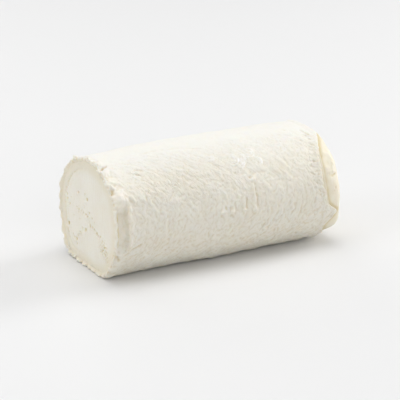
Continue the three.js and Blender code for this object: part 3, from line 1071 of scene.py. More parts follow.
@dataclass
class PasteCap:
    """The bare ivory paste of the folded end, from under the rind's edge to the tip.

    Attributes:
        form: The log's form.
        around: Vertices round the section.
        rings: Cuts along it.
        end_grid: Spans of the grid that fills its end.
        tucked: How far it reaches back under the rind.
    """

    form: LogForm
    around: int = 320
    rings: int = 62
    end_grid: int = 80
    tucked: float = 4.0

    def build(self, material: bpy.types.Material) -> bpy.types.Object:
        """Models, shapes and dresses the cap.

        Args:
            material: The bare paste's material.

        Returns:
            The finished piece.
        """
        piece = self._model()
        self._shape(piece)
        return finish_piece(piece, "paste_cap", material)

    def _model(self) -> bpy.types.Object:
        """Cuts a round bar into rings and grids its outer end."""
        form = self.form
        piece = round_bar(self.around, form)
        select_faces(piece, lambda middles, normals: normals[:, 0] < -0.9)
        bpy.ops.mesh.poke()
        leave_edit()
        select_faces(piece, lambda middles, normals: normals[:, 0] > 0.9)
        bpy.ops.mesh.delete(type="ONLY_FACE")
        leave_edit()
        select_edges(piece, lambda a, b: np.minimum(a[:, 0], b[:, 0]) > form.half_length - 0.01)
        bpy.ops.mesh.fill_grid(span=self.end_grid)
        leave_edit()
        subdivide(piece, runs_along, self.rings)
        return piece

    def _shape(self, piece: bpy.types.Object) -> None:
        """Moves every vertex to its place on the folded end."""
        form = self.form
        points = read_points(piece)
        radius = np.hypot(points[:, 1], points[:, 2]) / form.mean_radius
        angle = np.degrees(np.arctan2(points[:, 2], -points[:, 1]))
        on_end = (points[:, 0] > form.half_length - 0.01) & (radius < 0.9999)
        start = form.rind_edge(angle) - self.tucked
        along = (points[:, 0] / form.length + 0.5) ** 0.8
        x = np.where(on_end, form.half_length, start + (form.half_length - start) * along)
        share = form.shoulder_share(x) * np.where(on_end | (radius < 0.01), radius, 1.0)
        y, z = form.on_section(share, form.swell(x, angle), angle)
        z = form.lifted(x, z)
        place = np.stack([x, y, z], axis=1)
        lumps, grain = GradientNoise(81), GradientNoise(82)
        past = x - ragged_edge(form, angle)
        crease = 0.8 - 0.35 * angle_bell(angle, -10, 9) - 0.3 * angle_bell(angle, 60, 22)
        sunk = -0.35 - crease * np.exp(-np.clip(past, 0.0, None) / 1.2) - 0.35 * np.clip(-past, 0.0, 3.0)
        soft = 0.55 * lumps(place / 9.0) + 0.22 * lumps(place / 3.2 + 4.0) + 0.05 * grain(place / 0.9)
        facing = np.where(on_end, 1.0, smooth(x, form.half_length - 5.0, form.half_length) ** 2)
        arc = form.mean_radius * math.pi / 180.0
        marks = Surface(np.stack([x, angle * arc], axis=1), arc).draw(cap_marks()) * ~on_end
        relief = soft + marks + np.where(on_end, -0.2, sunk)
        turn = np.radians(angle)
        outward = np.sqrt(np.clip(1.0 - facing**2, 0.0, 1.0))
        y = y - relief * outward * np.cos(turn)
        z = np.maximum(z + relief * outward * np.sin(turn), 0.15)
        dish = form.end_dish * (1.0 - smooth(radius, 0.1, 1.0)) * on_end
        lean = form.end_lean * (z - form.axis_height) * smooth(x, form.shoulder_x, form.half_length)
        x = x + relief * facing - dish - lean
        centre = (radius < 0.01) & ~on_end
        y[centre], z[centre] = 0.0, form.axis_height
        write_points(piece, np.stack([x, y, z], axis=1))
        # Painted shadow of the rind's lip on the paste just past its edge, joined with painted shade in the
        # paste's hollows
        rind_lip_shadow = 0.9 * bell(past, 1.0, 1.1) * ~on_end
        write_mask(piece, "painted_hollow_shade", np.maximum(hollow_mask(piece, relief, 20, 0.3), rind_lip_shadow))


def cap_marks() -> list[Stroke | Spot]:
    """A thumb's scar, the crease below it, and pits of the bare paste."""
    scar = (
        (43.6, 40.0),
        (45.5, 43.0),
        (47.8, 42.0),
        (48.6, 36.0),
        (48.4, 30.0),
        (47.0, 24.4),
        (43.6, 23.5),
    )
    return [
        Stroke(scar, 0.7, 0.34),
        Spot((45.8, 33.5), (1.9, 2.8), -0.3),
        Stroke(((44.6, 20.6), (46.6, 19.8), (48.8, 22.0)), 0.5, -0.42),
        Spot((47.3, 7.4), (0.4, 0.4), -0.3),
        Spot((46.5, 4.4), (0.3, 0.3), -0.16),
    ]


# The open end's face


@dataclass
class PasteFace:
    """The paste that shows at the open end: a border inside the rim, and the disc in its middle.

    Attributes:
        form: The log's form.
        around: Vertices round its edge.
        share: Its share of the section.
    """

    form: LogForm
    around: int = 880
    share: float = 0.950

    # From the rim inwards: share, and depth behind the rim's crest
    FACE = (
        (0.958, 1.90),
        (0.938, 1.30),
        (0.915, 1.02),
        (0.870, 0.94),
        (0.700, 0.88),
        (0.000, 0.80),
    )

    def build(self, material: bpy.types.Material) -> bpy.types.Object:
        """Models, shapes and dresses the face.

        Args:
            material: The paste's material.

        Returns:
            The finished piece.
        """
        piece = self._model()
        self._shape(piece)
        return finish_piece(piece, "paste_face", material)

    def _model(self) -> bpy.types.Object:
        """Grids a circle, draws its edge back and closes it behind."""
        radius = self.form.mean_radius * self.share
        bpy.ops.object.select_all(action="DESELECT")
        bpy.ops.mesh.primitive_circle_add(
            vertices=self.around,
            radius=radius * MM,
            fill_type="NOTHING",
            rotation=(0.0, math.pi / 2.0, 0.0),
        )
        piece = bpy.context.object
        bpy.ops.object.transform_apply(location=True, rotation=True, scale=True)
        bpy.ops.object.mode_set(mode="EDIT")
        bpy.ops.mesh.select_mode(type="EDGE")
        bpy.ops.mesh.select_all(action="SELECT")
        bpy.ops.mesh.fill_grid(span=self.around // 4)
        bpy.ops.mesh.select_all(action="SELECT")
        bpy.ops.mesh.region_to_loop()
        for back, shrink in ((0.5, 0.995), (1.2, 0.97)):
            bpy.ops.mesh.extrude_edges_move(TRANSFORM_OT_translate={"value": (back * MM, 0.0, 0.0)})
            bpy.ops.transform.resize(value=(1.0, shrink, shrink), center_override=(0.0, 0.0, 0.0))
        bpy.ops.mesh.edge_face_add()
        bpy.ops.mesh.poke()
        bpy.ops.mesh.select_all(action="SELECT")
        bpy.ops.mesh.normals_make_consistent(inside=False)
        leave_edit()
        return piece

    def _shape(self, piece: bpy.types.Object) -> None:
        """Fits the face to the log's section and gives it its border, pits and smears."""
        form = self.form
        points = read_points(piece)
        share = np.hypot(points[:, 1], points[:, 2]) / form.mean_radius
        angle = np.degrees(np.arctan2(points[:, 2], -points[:, 1]))
        front = points[:, 0] < 0.01
        y, z = form.on_section(share, form.swell(np.full(len(angle), -form.half_length), angle), angle)
        up = z - form.axis_height
        shares, depths = np.array(self.FACE[::-1]).T
        lumps = GradientNoise(50)
        wander = share + 0.012 * lumps(np.stack([y, up, 0.0 * y], axis=1) / 7.0)
        depth = np.interp(wander, shares, depths)
        relief, pits = self._relief(y, up, share, angle)
        x = -form.half_length + depth - relief * front + points[:, 0]
        write_points(piece, np.stack([x, y, z], axis=1))
        # Painted shade in the face's hollows and pits
        painted_hollow_shade = np.maximum(hollow_mask(piece, relief - depth, 16, 0.35), pits)
        write_mask(piece, "painted_hollow_shade", np.where(front, painted_hollow_shade, 0.0))
        ring = wander + 0.05 * angle_bell(angle, 95, 40)
        write_mask(piece, "border", np.where(front, smooth(ring, 0.72, 0.90), 1.0))

    def _relief(self, y: Array, up: Array, share: Array, angle: Array) -> tuple[Array, Array]:
        """Heights of the face, and how deep in a pit each vertex is."""
        place = np.stack([y, up, np.zeros_like(y)], axis=1)
        grain, crumb = GradientNoise(51), GradientNoise(52)
        smear = 0.13 * grain(place * np.array([0.75, 0.12, 1.0])) + 0.26 * grain(place / 9.0)
        fine = 0.09 * crumb(place / 0.75) + 0.06 * crumb(place * np.array([1.3, 0.3, 1.0]) + 4.0)
        surface = Surface(np.stack([y, up], axis=1))
        holes = -surface.draw(face_pits())
        crater = surface.draw([Spot((-12.9, -9.2), (2.9, 2.7), 1.1), Spot((-15.4, -12.6), (1.4, 1.5), 0.6)])
        clods = crater * (2.4 * crumb(place / 1.2 + 7.0) + 1.6 * crumb(place / 0.65) + 0.5)
        left = angle_bell(angle, 178, 52)
        groove = 0.5 * left * bell(share, 0.800, 0.020)
        welt = left * (0.28 * bell(share, 0.745, 0.022) + 0.16 * bell(share, 0.850, 0.020))
        bitten = groove * np.clip(crumb(place / 0.95 + 21.0) - 0.02, 0.0, 1.0) * 3.2
        edge = smooth(share, 0.86, 0.92)
        rough_edge = edge * (0.4 * grain(place / 2.2 + 5.0) + 0.18 * crumb(place / 1.0 + 6.0))
        pits = 1.9 * np.clip(holes - 0.08, 0.0, 1.0) + 1.5 * bitten
        pits = np.clip(pits + np.clip(-1.3 * clods, 0.0, 1.0), 0.0, 1.0)
        return smear + fine + rough_edge + clods - holes - groove + welt - bitten, pits


def face_pits() -> list[Stroke | Spot]:
    """Pits in the disc, most in a drift that runs down its middle, each with a raised rim."""
    placed = (
        (0.7, 6.5, 1.5), (8.4, 7.3, 1.0), (16.2, 0.5, 1.0), (17.7, -8.2, 1.7), (18.4, 3.8, 1.2),
        (17.5, 7.6, 1.0), (4.2, 0.4, 1.0), (0.5, -0.1, 1.4), (-2.0, -3.3, 1.4), (2.5, -6.3, 1.4),
        (7.5, -8.6, 1.1), (-7.7, -4.8, 1.2), (-10.7, -5.1, 1.0), (11.0, -12.6, 1.3), (8.2, 0.5, 0.8),
        (9.9, 0.9, 0.7), (3.6, 3.1, 0.7), (-5.6, -1.0, 0.6), (13.8, -11.4, 0.7), (10.6, -14.5, 0.8),
        (-5.5, -3.8, 0.9), (5.8, 0.6, 0.9), (-1.0, 1.5, 1.0), (2.0, 0.1, 0.9), (-3.6, 0.2, 0.7),
        (-4.1, -3.3, 0.9), (5.4, -6.5, 0.9), (0.2, -4.7, 0.9), (12.6, -12.4, 0.8), (-9.1, -5.1, 0.9),
        (18.4, 5.6, 0.9), (18.3, 2.0, 0.8), (15.2, 3.3, 0.6), (2.5, 8.3, 0.6), (12.8, -3.4, 0.6),
        (7.4, -3.4, 0.6),
    )
    drifts = (
        ((9.0, 1.2), (0.4, 0.0)),
        ((0.4, 0.0), (-2.0, -3.4)),
        ((-2.0, -3.4), (-10.8, -5.4)),
        ((2.5, -6.2), (12.0, -12.6)),
    )
    random = np.random.default_rng(17)
    pits = list(placed)
    for start, end in drifts:
        for part in random.uniform(0.0, 1.0, size=9):
            middle = np.array(start) + part * (np.array(end) - np.array(start))
            middle = middle + random.normal(0.0, 0.9, size=2)
            pits.append((middle[0], middle[1], random.uniform(0.35, 0.7)))
    marks: list[Stroke | Spot] = []
    for y, up, size in pits:
        wide, tall = 0.36 * size * random.uniform(0.8, 1.3), 0.4 * size * random.uniform(0.8, 1.3)
        marks.append(Spot((y, up), (wide, tall), -0.75 * size))
        marks.append(Spot((y + 0.5 * size, up - 0.5 * size), (0.5 * size, 0.5 * size), 0.5 * size))
    return marks


# Crumbs


@dataclass
class RimCrumbs:
    """Loose curds that cling to the torn rim.

    Attributes:
        form: The log's form.
        body: The finished rind, on whose rim they sit.
        seed: Start of the random draws.
    """

    form: LogForm
    body: bpy.types.Object
    seed: int = 71
    count: int = 60
    smallest: float = 0.3
    largest: float = 0.8

    def build(self, material: bpy.types.Material) -> bpy.types.Object:
        """Models one curd, copies it round the rim and joins the copies.

        Args:
            material: The rind's material.

        Returns:
            The finished piece.
        """
        random = np.random.default_rng(self.seed)
        bpy.ops.object.select_all(action="DESELECT")
        bpy.ops.mesh.primitive_ico_sphere_add(subdivisions=3, radius=MM)
        first = bpy.context.object
        base = read_points(first)
        spots = self._places(random)
        copies = [first]
        for _ in range(len(spots) - 1):
            copy = first.copy()
            copy.data = first.data.copy()
            bpy.context.collection.objects.link(copy)
            copies.append(copy)
        lumps = GradientNoise(72)
        for i, (copy, spot) in enumerate(zip(copies, spots)):
            size = random.uniform(self.smallest, self.largest) * random.uniform(0.6, 1.0)
            stretch = random.uniform(0.7, 1.25, size=3)
            rough = 1.0 + 0.5 * lumps(base * 1.1 + 13.0 * i) + 0.25 * lumps(base * 2.3 + 7.0 * i)
            write_points(copy, base * rough[:, None] * stretch * size + spot)
        select_only(first)
        for copy in copies:
            copy.select_set(True)
        bpy.ops.object.join()
        return finish_piece(first, "rim_crumbs", material)

    def _places(self, random: np.random.Generator) -> Array:
        """Draws places on the body's rim, most of them on the near side's top and low on the far side."""
        points = read_points(self.body)
        form = self.form
        angle = np.degrees(np.arctan2(points[:, 2] - form.axis_height, -points[:, 1]))
        above = points[:, 2] - form.axis_height
        share = np.hypot(points[:, 1] / form.half_width, above / form.half_height)
        from_rim = points[:, 0] + form.half_length
        on_rim = (from_rim < 1.6) & (share > 0.9) & (points[:, 2] > 0.6)
        weight = bells(angle, ((0.5, 48.0, 14.0), (1.2, 232.0, 20.0), (0.3, 95.0, 20.0)), 0.1)
        weight = weight * (1.0 - 0.9 * smooth(angle, -20.0, -12.0) * (1.0 - smooth(angle, 18.0, 24.0)))
        weight = np.where(on_rim, weight, 0.0)
        picked = random.choice(len(points), size=self.count, replace=False, p=weight / weight.sum())
        return points[picked]


# Finishes


class Socket(Enum):
    """Kinds of socket on a node group."""

    COLOUR = "NodeSocketColor"
    VALUE = "NodeSocketFloat"
    VECTOR = "NodeSocketVector"


@dataclass(frozen=True)
class CheeseFinish:
    """Colours and surface of one kind of cheese surface.

    Attributes:
        name: The material's name.
        tone: Main colour, linear.
        warm: Colour of the warmer patches.
        bare: Colour of bare paste, where a mask shows it.
        painted_hollow_shade: Painted shade, a warm darker colour deep in creases and pits.
        painted_hollow_shade_strength: How much of that painted shade shows.
        roughness: Mean roughness.
        grain_height: Depth of the fine grain, in metres.
        painted_top_light: Painted light: a whiter, less yellow colour on the lit top.
        shade: Painted shade in fine creases.
        painted_glint: Painted highlight on the crests of the glossy curls.
    """

    name: str
    tone: Colour
    warm: Colour
    bare: Colour
    painted_hollow_shade: Colour
    painted_hollow_shade_strength: float
    roughness: float
    grain_height: float
    painted_top_light: Colour = (0.855, 0.845, 0.797)
    shade: Colour = (0.70, 0.635, 0.51)
    painted_glint: Colour = (0.97, 0.965, 0.945)


RIND = CheeseFinish(
    name="white_rind",
    tone=(0.855, 0.828, 0.743),
    warm=(0.845, 0.803, 0.70),
    bare=(0.835, 0.772, 0.62),
    # Painted shade colour for deep creases and pits
    painted_hollow_shade=(0.76, 0.63, 0.38),
    painted_hollow_shade_strength=0.9,
    roughness=0.55,
    grain_height=0.00007,
)
CURD = replace(RIND, name="white_curd")
FACE = CheeseFinish(
    name="cream_paste",
    tone=(0.895, 0.868, 0.78),
    warm=(0.87, 0.83, 0.73),
    bare=(0.835, 0.778, 0.635),
    # Painted shade colour for pits and hollows
    painted_hollow_shade=(0.70, 0.58, 0.26),
    painted_hollow_shade_strength=0.85,
    roughness=0.6,
    grain_height=0.00005,
)
IVORY = CheeseFinish(
    name="ivory_paste",
    tone=(0.83, 0.778, 0.645),
    warm=(0.815, 0.745, 0.59),
    bare=(0.77, 0.72, 0.60),
    # Painted shade colour for hollows and beside the rind's lip
    painted_hollow_shade=(0.68, 0.57, 0.31),
    painted_hollow_shade_strength=0.85,
    roughness=0.5,
    grain_height=0.00004,
)


class GroupBuilder:
    """Builds a shader node group with named sockets."""

    def __init__(self, name: str) -> None:
        """Starts an empty group.

        Args:
            name: The group's name.
        """
        self.tree = bpy.data.node_groups.new(name, "ShaderNodeTree")
        self.inside = self.tree.nodes.new("NodeGroupInput")
        self.outside = self.tree.nodes.new("NodeGroupOutput")

    def take(self, name: str, kind: Socket, default: float | tuple[float, ...] | None = None) -> None:
        """Adds an input socket."""
        socket = self.tree.interface.new_socket(name=name, in_out="INPUT", socket_type=kind.value)
        if default is not None:
            socket.default_value = default

    def give(self, name: str, kind: Socket) -> None:
        """Adds an output socket."""
        self.tree.interface.new_socket(name=name, in_out="OUTPUT", socket_type=kind.value)

    def node(self, kind: str, **settings: object) -> Node:
        """Adds a node and sets its properties and input values by name."""
        return add_node(self.tree, kind, **settings)

    def link(self, source: Wire, target: Wire) -> None:
        """Joins two sockets."""
        self.tree.links.new(source, target)

    def math(self, operation: str, first: object, second: object = 0.0) -> Wire:
        """Adds a math node on two sockets or numbers and returns its result."""
        return add_math(self.tree, operation, first, second)


def add_node(tree: Tree, kind: str, **settings: object) -> Node:
    """Adds a node to a tree.

    Args:
        tree: The node tree.
        kind: The node's type.
        **settings: Properties of the node, and values of inputs that have no such property.

    Returns:
        The new node.
    """
    node = tree.nodes.new(kind)
    for key, value in settings.items():
        if hasattr(node, key):
            setattr(node, key, value)
        else:
            node.inputs[key.replace("_", " ")].default_value = value
    return node


def add_math(tree: Tree, operation: str, first: object, second: object) -> Wire:
    """Adds a math node.

    Args:
        tree: The node tree.
        operation: The node's operation.
        first: A socket or a number.
        second: A socket or a number.

    Returns:
        The node's output.
    """
    node = tree.nodes.new("ShaderNodeMath")
    node.operation = operation
    for i, value in enumerate((first, second)):
        if isinstance(value, Wire):
            tree.links.new(value, node.inputs[i])
        else:
            node.inputs[i].default_value = value
    return node.outputs[0]


def curd_grain_group() -> bpy.types.ShaderNodeTree:
    """Fine curd grain: a height from two sizes of noise and a scatter of pinholes."""
    group = GroupBuilder("curd_grain")
    group.take("Vector", Socket.VECTOR)
    group.take("Grain size", Socket.VALUE, 900.0)
    group.take("Pinholes", Socket.VALUE, 0.3)
    group.give("Height", Socket.VALUE)
    source = group.inside.outputs
    fine = group.node("ShaderNodeTexNoise", Detail=4.0, Roughness=0.6)
    coarse = group.node("ShaderNodeTexNoise", Detail=3.0, Roughness=0.55)
    holes = group.node("ShaderNodeTexVoronoi", Randomness=1.0)
    for texture, factor in ((fine, 1.0), (coarse, 0.34), (holes, 0.55)):
        group.link(source["Vector"], texture.inputs["Vector"])
        group.link(group.math("MULTIPLY", source["Grain size"], factor), texture.inputs["Scale"])
    pin = group.math("SUBTRACT", 0.22, holes.outputs["Distance"])
    pin = group.math("MAXIMUM", pin, 0.0)
    pin = group.math("MULTIPLY", pin, group.math("MULTIPLY", source["Pinholes"], -6.0))
    both = group.math("ADD", fine.outputs["Fac"], group.math("MULTIPLY", coarse.outputs["Fac"], 1.3))
    group.link(group.math("ADD", both, pin), group.outside.inputs["Height"])
    return group.tree


def crazed_skin_group() -> bpy.types.ShaderNodeTree:
    """Fine creases that run along the skin's flow: a height from two stretched noises."""
    group = GroupBuilder("crazed_skin")
    group.take("Flow", Socket.VECTOR)
    group.take("Strength", Socket.VALUE, 1.0)
    group.give("Height", Socket.VALUE)
    source = group.inside.outputs
    heights = []
    for across, along, width in ((0.85, 0.40, 0.12), (0.55, 0.24, 0.15)):
        mapping = group.node("ShaderNodeMapping")
        mapping.inputs["Scale"].default_value = (across, along, along)
        noise = group.node("ShaderNodeTexNoise", Detail=2.0, Roughness=0.55, Distortion=0.35, Scale=1.0)
        group.link(source["Flow"], mapping.inputs["Vector"])
        group.link(mapping.outputs[0], noise.inputs["Vector"])
        away = group.math("ABSOLUTE", group.math("SUBTRACT", noise.outputs["Fac"], 0.5))
        line = group.math("MINIMUM", group.math("DIVIDE", away, width), 1.0)
        heights.append(group.math("POWER", line, 0.7))
    total = group.math("ADD", heights[0], group.math("MULTIPLY", heights[1], 0.8))
    group.link(group.math("MULTIPLY", total, source["Strength"]), group.outside.inputs["Height"])
    return group.tree


def colour_drift_group() -> bpy.types.ShaderNodeTree:
    """Soft patches between two close colours."""
    group = GroupBuilder("colour_drift")
    group.take("Vector", Socket.VECTOR)
    group.take("Tone", Socket.COLOUR)
    group.take("Warm", Socket.COLOUR)
    group.take("Patch size", Socket.VALUE, 90.0)
    group.give("Color", Socket.COLOUR)
    source = group.inside.outputs
    noise = group.node("ShaderNodeTexNoise", Detail=3.0, Roughness=0.6)
    group.link(source["Vector"], noise.inputs["Vector"])
    group.link(source["Patch size"], noise.inputs["Scale"])
    ramp = group.node("ShaderNodeMapRange", From_Min=0.38, From_Max=0.68)
    group.link(noise.outputs["Fac"], ramp.inputs["Value"])
    mix = group.node("ShaderNodeMix", data_type="RGBA")
    group.link(ramp.outputs["Result"], mix.inputs[0])
    group.link(source["Tone"], mix.inputs[6])
    group.link(source["Warm"], mix.inputs[7])
    group.link(mix.outputs[2], group.outside.inputs["Color"])
    return group.tree


@dataclass
class CheeseMaterials:
    """Builds the materials from shared node groups."""

    grain: bpy.types.ShaderNodeTree = field(default_factory=curd_grain_group)
    crazing: bpy.types.ShaderNodeTree = field(default_factory=crazed_skin_group)
    drift: bpy.types.ShaderNodeTree = field(default_factory=colour_drift_group)

    # Grain size and share of pinholes, and how much of each mask's colour shows
    RIND_GRAIN = (900.0, 0.25)
    PASTE_GRAIN = (1100.0, 0.5)
    # Shares of painted light and shade: whiter top, darker fine creases, glints on the curls
    PAINTED_TOP_LIGHT_SHARE = 0.8
    CREASE_SHARE = 0.62
    PAINTED_GLINT_SHARE = 0.75
    BARE_SHARE = 0.8
    GLOSS_ROUGHNESS = 0.12
    # Light inside the cheese
    REFRACTION = 1.42
    SCATTER_SHARE = 0.25
    SCATTER_RADIUS = (1.0, 0.75, 0.45)
    SCATTER_DEPTH = 0.0006

    def rind(self, finish: CheeseFinish, crinkled: bool) -> bpy.types.Material:
        """Makes the rind's material.

        Args:
            finish: Its colours and surface.
            crinkled: Whether the piece carries the rind's masks and flow.

        Returns:
            The material.
        """
        material, tree, shader = self._start(finish)
        place = add_node(tree, "ShaderNodeTexCoord").outputs["Object"]
        colour = self._drift(tree, place, finish)
        height = self._grain(tree, place, *self.RIND_GRAIN)
        if crinkled:
            # Painted light and shade laid over the colour: whiter lit top, darker fine creases, glints on
            # the curls and warm shade deep in hollows; the rim's inner wall gets the bare paste's own
            # colour
            layers = (
                ("painted_top_light", finish.painted_top_light, self.PAINTED_TOP_LIGHT_SHARE),
                ("crease", finish.shade, self.CREASE_SHARE),
                ("painted_glint", finish.painted_glint, self.PAINTED_GLINT_SHARE),
                ("inner", finish.bare, self.BARE_SHARE),
                ("painted_hollow_shade", finish.painted_hollow_shade, finish.painted_hollow_shade_strength),
            )
            for mask, paint, share in layers:
                colour = self._over(tree, colour, paint, self._mask(tree, mask), share)
            height = self._craze(tree, height)
            tree.links.new(self._roughness(tree, place, finish), shader.inputs["Roughness"])
            tree.links.new(self._gloss(tree, place), shader.inputs["Coat Weight"])
            shader.inputs["Coat Roughness"].default_value = self.GLOSS_ROUGHNESS
        tree.links.new(colour, shader.inputs["Base Color"])
        self._bump(tree, shader, height, finish.grain_height)
        return material

    def paste(self, finish: CheeseFinish) -> bpy.types.Material:
        """Makes the material of bare paste.

        Args:
            finish: Its colours and surface.

        Returns:
            The material.
        """
        material, tree, shader = self._start(finish)
        place = add_node(tree, "ShaderNodeTexCoord").outputs["Object"]
        colour = self._drift(tree, place, finish)
        colour = self._over(tree, colour, finish.bare, self._mask(tree, "border"), self.BARE_SHARE)
        # Painted shade, warm and darker, in pits and hollows, and beside the rind's lip on the cap
        colour = self._over(tree, colour, finish.painted_hollow_shade, self._mask(tree, "painted_hollow_shade"), finish.painted_hollow_shade_strength)
        height = self._grain(tree, place, *self.PASTE_GRAIN)
        tree.links.new(colour, shader.inputs["Base Color"])
        self._bump(tree, shader, height, finish.grain_height)
        return material

    def _start(self, finish: CheeseFinish) -> tuple[bpy.types.Material, Tree, Node]:
        """Starts a soft, slightly translucent material."""
        material = bpy.data.materials.new(finish.name)
        material.use_nodes = True
        tree = material.node_tree
        shader = tree.nodes["Principled BSDF"]
        shader.inputs["Roughness"].default_value = finish.roughness
        shader.inputs["IOR"].default_value = self.REFRACTION
        shader.inputs["Subsurface Weight"].default_value = self.SCATTER_SHARE
        shader.inputs["Subsurface Radius"].default_value = self.SCATTER_RADIUS
        shader.inputs["Subsurface Scale"].default_value = self.SCATTER_DEPTH
        return material, tree, shader

    def _drift(self, tree: Tree, place: Wire, finish: CheeseFinish) -> Wire:
        """Colour of the plain surface, with its patches."""
        group = add_node(tree, "ShaderNodeGroup", node_tree=self.drift)
        tree.links.new(place, group.inputs["Vector"])
        group.inputs["Tone"].default_value = (*finish.tone, 1.0)
        group.inputs["Warm"].default_value = (*finish.warm, 1.0)
        return group.outputs["Color"]

    def _grain(self, tree: Tree, place: Wire, size: float, pinholes: float) -> Wire:
        """Height of the fine grain."""
        group = add_node(tree, "ShaderNodeGroup", node_tree=self.grain)
        tree.links.new(place, group.inputs["Vector"])
        group.inputs["Grain size"].default_value = size
        group.inputs["Pinholes"].default_value = pinholes
        return group.outputs["Height"]

    def _craze(self, tree: Tree, height: Wire) -> Wire:
        """Adds the fine creases to the grain, strongest where the skin is crazed."""
        group = add_node(tree, "ShaderNodeGroup", node_tree=self.crazing)
        flow = add_node(tree, "ShaderNodeAttribute", attribute_name="flow")
        tree.links.new(flow.outputs["Vector"], group.inputs["Flow"])
        zone = add_math(tree, "ADD", add_math(tree, "MULTIPLY", self._mask(tree, "net"), 0.9), 0.35)
        covered = add_math(tree, "SUBTRACT", 1.0, self._mask(tree, "inner"))
        tree.links.new(add_math(tree, "MULTIPLY", zone, covered), group.inputs["Strength"])
        return add_math(tree, "ADD", height, add_math(tree, "MULTIPLY", group.outputs["Height"], 1.4))

    @staticmethod
    def _mask(tree: Tree, name: str) -> Wire:
        """Reads one of the piece's masks."""
        return add_node(tree, "ShaderNodeAttribute", attribute_name=name).outputs["Fac"]

    @staticmethod
    def _over(
        tree: Tree,
        colour: Wire,
        paint: tuple[float, float, float],
        mask: Wire,
        strength: float,
    ) -> Wire:
        """Lays a colour over another where a mask shows it."""
        mix = add_node(tree, "ShaderNodeMix", data_type="RGBA")
        tree.links.new(add_math(tree, "MULTIPLY", mask, strength), mix.inputs[0])
        tree.links.new(colour, mix.inputs[6])
        mix.inputs[7].default_value = (*paint, 1.0)
        return mix.outputs[2]

    def _roughness(
        self, tree: Tree, place: Wire, finish: CheeseFinish
    ) -> Wire:
        """Roughness that wanders a little and drops where the skin is moist."""
        noise = add_node(tree, "ShaderNodeTexNoise", Scale=260.0, Detail=2.0)
        tree.links.new(place, noise.inputs["Vector"])
        wander = add_math(tree, "MULTIPLY", noise.outputs["Fac"], 0.16)
        drop = add_math(tree, "MULTIPLY", self._mask(tree, "wet"), 0.15)
        return add_math(tree, "SUBTRACT", add_math(tree, "ADD", finish.roughness - 0.08, wander), drop)

    def _gloss(self, tree: Tree, place: Wire) -> Wire:
        """Patches of moisture on the glossy skin."""
        noise = add_node(tree, "ShaderNodeTexNoise", Scale=330.0, Detail=2.0)
        tree.links.new(place, noise.inputs["Vector"])
        ramp = add_node(tree, "ShaderNodeMapRange")
        ramp.inputs["From Min"].default_value = 0.46
        ramp.inputs["From Max"].default_value = 0.62
        tree.links.new(noise.outputs["Fac"], ramp.inputs["Value"])
        return add_math(tree, "MULTIPLY", ramp.outputs["Result"], self._mask(tree, "wet"))

    @staticmethod
    def _bump(tree: Tree, shader: Node, height: Wire, depth: float) -> None:
        """Turns a height into the shader's normal."""
        bump = add_node(tree, "ShaderNodeBump", Strength=1.0, Distance=depth)
        tree.links.new(height, bump.inputs["Height"])
        tree.links.new(bump.outputs["Normal"], shader.inputs["Normal"])


# Studio


@dataclass(frozen=True)
class Softbox:
    """A soft rectangular light that faces the log.

    Attributes:
        name: Its name.
        place: Where it hangs, in metres.
        size: Its width and height, in metres.
        power: Its power in watts.
    """

    name: str
    place: tuple[float, float, float]
    size: tuple[float, float]
    power: float

    def build(self) -> None:
        """Hangs the light and turns it towards the log."""
        data = bpy.data.lights.new(self.name, "AREA")
        data.shape = "RECTANGLE"
        data.size, data.size_y = self.size
        data.energy = self.power
        lamp = bpy.data.objects.new(self.name, data)
        lamp.location = self.place
        lamp.rotation_mode = "QUATERNION"
        direction = Vector((0.0, 0.0, 0.02)) - lamp.location
        lamp.rotation_quaternion = direction.to_track_quat("-Z", "Y")
        bpy.context.collection.objects.link(lamp)


SOFTBOXES = (
    Softbox("overhead", (0.0, 0.0, 1.0), (0.9, 0.9), 2.05),
    Softbox("key", (0.0, 0.0, 1.0), (0.35, 0.35), 1.05),
    Softbox("upper_back", (0.0, 0.7, 0.9), (0.8, 0.6), 1.0),
    Softbox("upper_left", (-0.7, 0.0, 0.9), (0.6, 0.8), 2.0),
    Softbox("upper_right", (0.7, 0.0, 0.9), (0.6, 0.8), 1.2),
    Softbox("front", (0.0, -1.1, 0.6), (0.8, 0.5), 2.6),
    Softbox("left", (-1.1, 0.0, 0.4), (0.5, 0.8), 2.0),
    Softbox("right", (1.1, 0.0, 0.4), (0.5, 0.8), 7.0),
    Softbox("back", (0.0, 1.1, 0.4), (0.8, 0.5), 1.7),
)


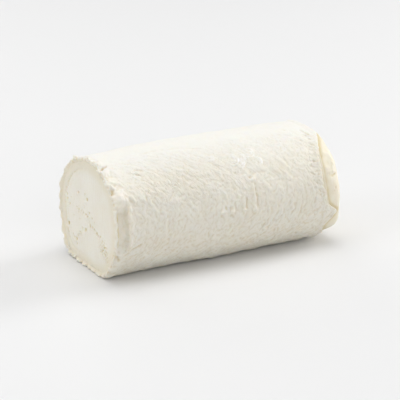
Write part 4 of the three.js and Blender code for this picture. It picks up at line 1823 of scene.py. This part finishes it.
@dataclass
class Studio:
    """Pale floor, soft overhead light and the photograph's camera.

    Attributes:
        azimuth: Camera's turn round the log, in degrees.
        elevation: Camera's angle above the horizon, in degrees.
        distance: Camera's distance from the aim point, in millimetres.
        aim_height: Height of the aim point above the floor, in millimetres.
        aim_pixel: Where the aim point lies in the 400 by 400 frame.
        focal_pixels: Focal length in pixels of that frame.
        frame_pixels: Width of that frame, in pixels.
        sensor: Width of the camera's sensor, in millimetres.
        floor_size: Side of the floor, in metres.
        floor_tone: The floor's grey, linear.
        floor_roughness: The floor's roughness.
        surround: Strength of the even light from all round.
    """

    azimuth: float = -28.748
    elevation: float = 18.355
    distance: float = 791.7
    aim_height: float = 26.1
    aim_pixel: tuple[float, float] = (202.66, 185.08)
    focal_pixels: float = 2000.0
    frame_pixels: float = 400.0
    sensor: float = 36.0
    floor_size: float = 8.0
    floor_tone: float = 0.80
    floor_roughness: float = 0.6
    surround: float = 0.356

    def build(self) -> None:
        """Sets up floor, lights, camera and colour view."""
        self._floor()
        self._lights()
        self._camera()
        bpy.context.scene.view_settings.view_transform = "Standard"

    def _floor(self) -> None:
        """One wide sheet, nearly white."""
        bpy.ops.object.select_all(action="DESELECT")
        bpy.ops.mesh.primitive_plane_add(size=self.floor_size, location=(0.0, 0.0, 0.0))
        floor = bpy.context.object
        floor.name = "studio_floor"
        material = bpy.data.materials.new("studio_floor")
        material.use_nodes = True
        shader = material.node_tree.nodes["Principled BSDF"]
        shader.inputs["Base Color"].default_value = (*(self.floor_tone,) * 3, 1.0)
        shader.inputs["Roughness"].default_value = self.floor_roughness
        floor.data.materials.append(material)

    def _lights(self) -> None:
        """Soft boxes all round, strongest overhead, and an even surround."""
        world = bpy.data.worlds.new("studio_surround")
        bpy.context.scene.world = world
        world.use_nodes = True
        background = world.node_tree.nodes["Background"]
        background.inputs["Color"].default_value = (1.0, 1.0, 1.0, 1.0)
        background.inputs["Strength"].default_value = self.surround
        for box in SOFTBOXES:
            box.build()

    def _camera(self) -> None:
        """The photograph's camera, found from the log's outline."""
        turn, rise = math.radians(self.azimuth), math.radians(self.elevation)
        back = Vector((math.sin(turn) * math.cos(rise), -math.cos(turn) * math.cos(rise), math.sin(rise)))
        data = bpy.data.cameras.new("camera")
        data.sensor_width = self.sensor
        data.lens = self.sensor * self.focal_pixels / self.frame_pixels
        data.shift_x = (self.frame_pixels / 2.0 - self.aim_pixel[0]) / self.frame_pixels
        data.shift_y = (self.aim_pixel[1] - self.frame_pixels / 2.0) / self.frame_pixels
        data.clip_start, data.clip_end = 0.05, 20.0
        camera = bpy.data.objects.new("camera", data)
        camera.location = Vector((0.0, 0.0, self.aim_height * MM)) + back * self.distance * MM
        camera.rotation_mode = "QUATERNION"
        camera.rotation_quaternion = (-back).to_track_quat("-Z", "Y")
        bpy.context.collection.objects.link(camera)
        bpy.context.scene.camera = camera


def main() -> None:
    """Builds the studio and every piece of the log, in order."""
    logging.basicConfig(level=logging.INFO, format="%(message)s")
    Studio().build()
    form = LogForm()
    materials = CheeseMaterials()
    skin = RindSkin(form).build(materials.rind(RIND, crinkled=True))
    PasteCap(form).build(materials.paste(IVORY))
    PasteFace(form).build(materials.paste(FACE))
    RimCrumbs(form, skin).build(materials.rind(CURD, crinkled=False))


if __name__ == "__main__":
    main()
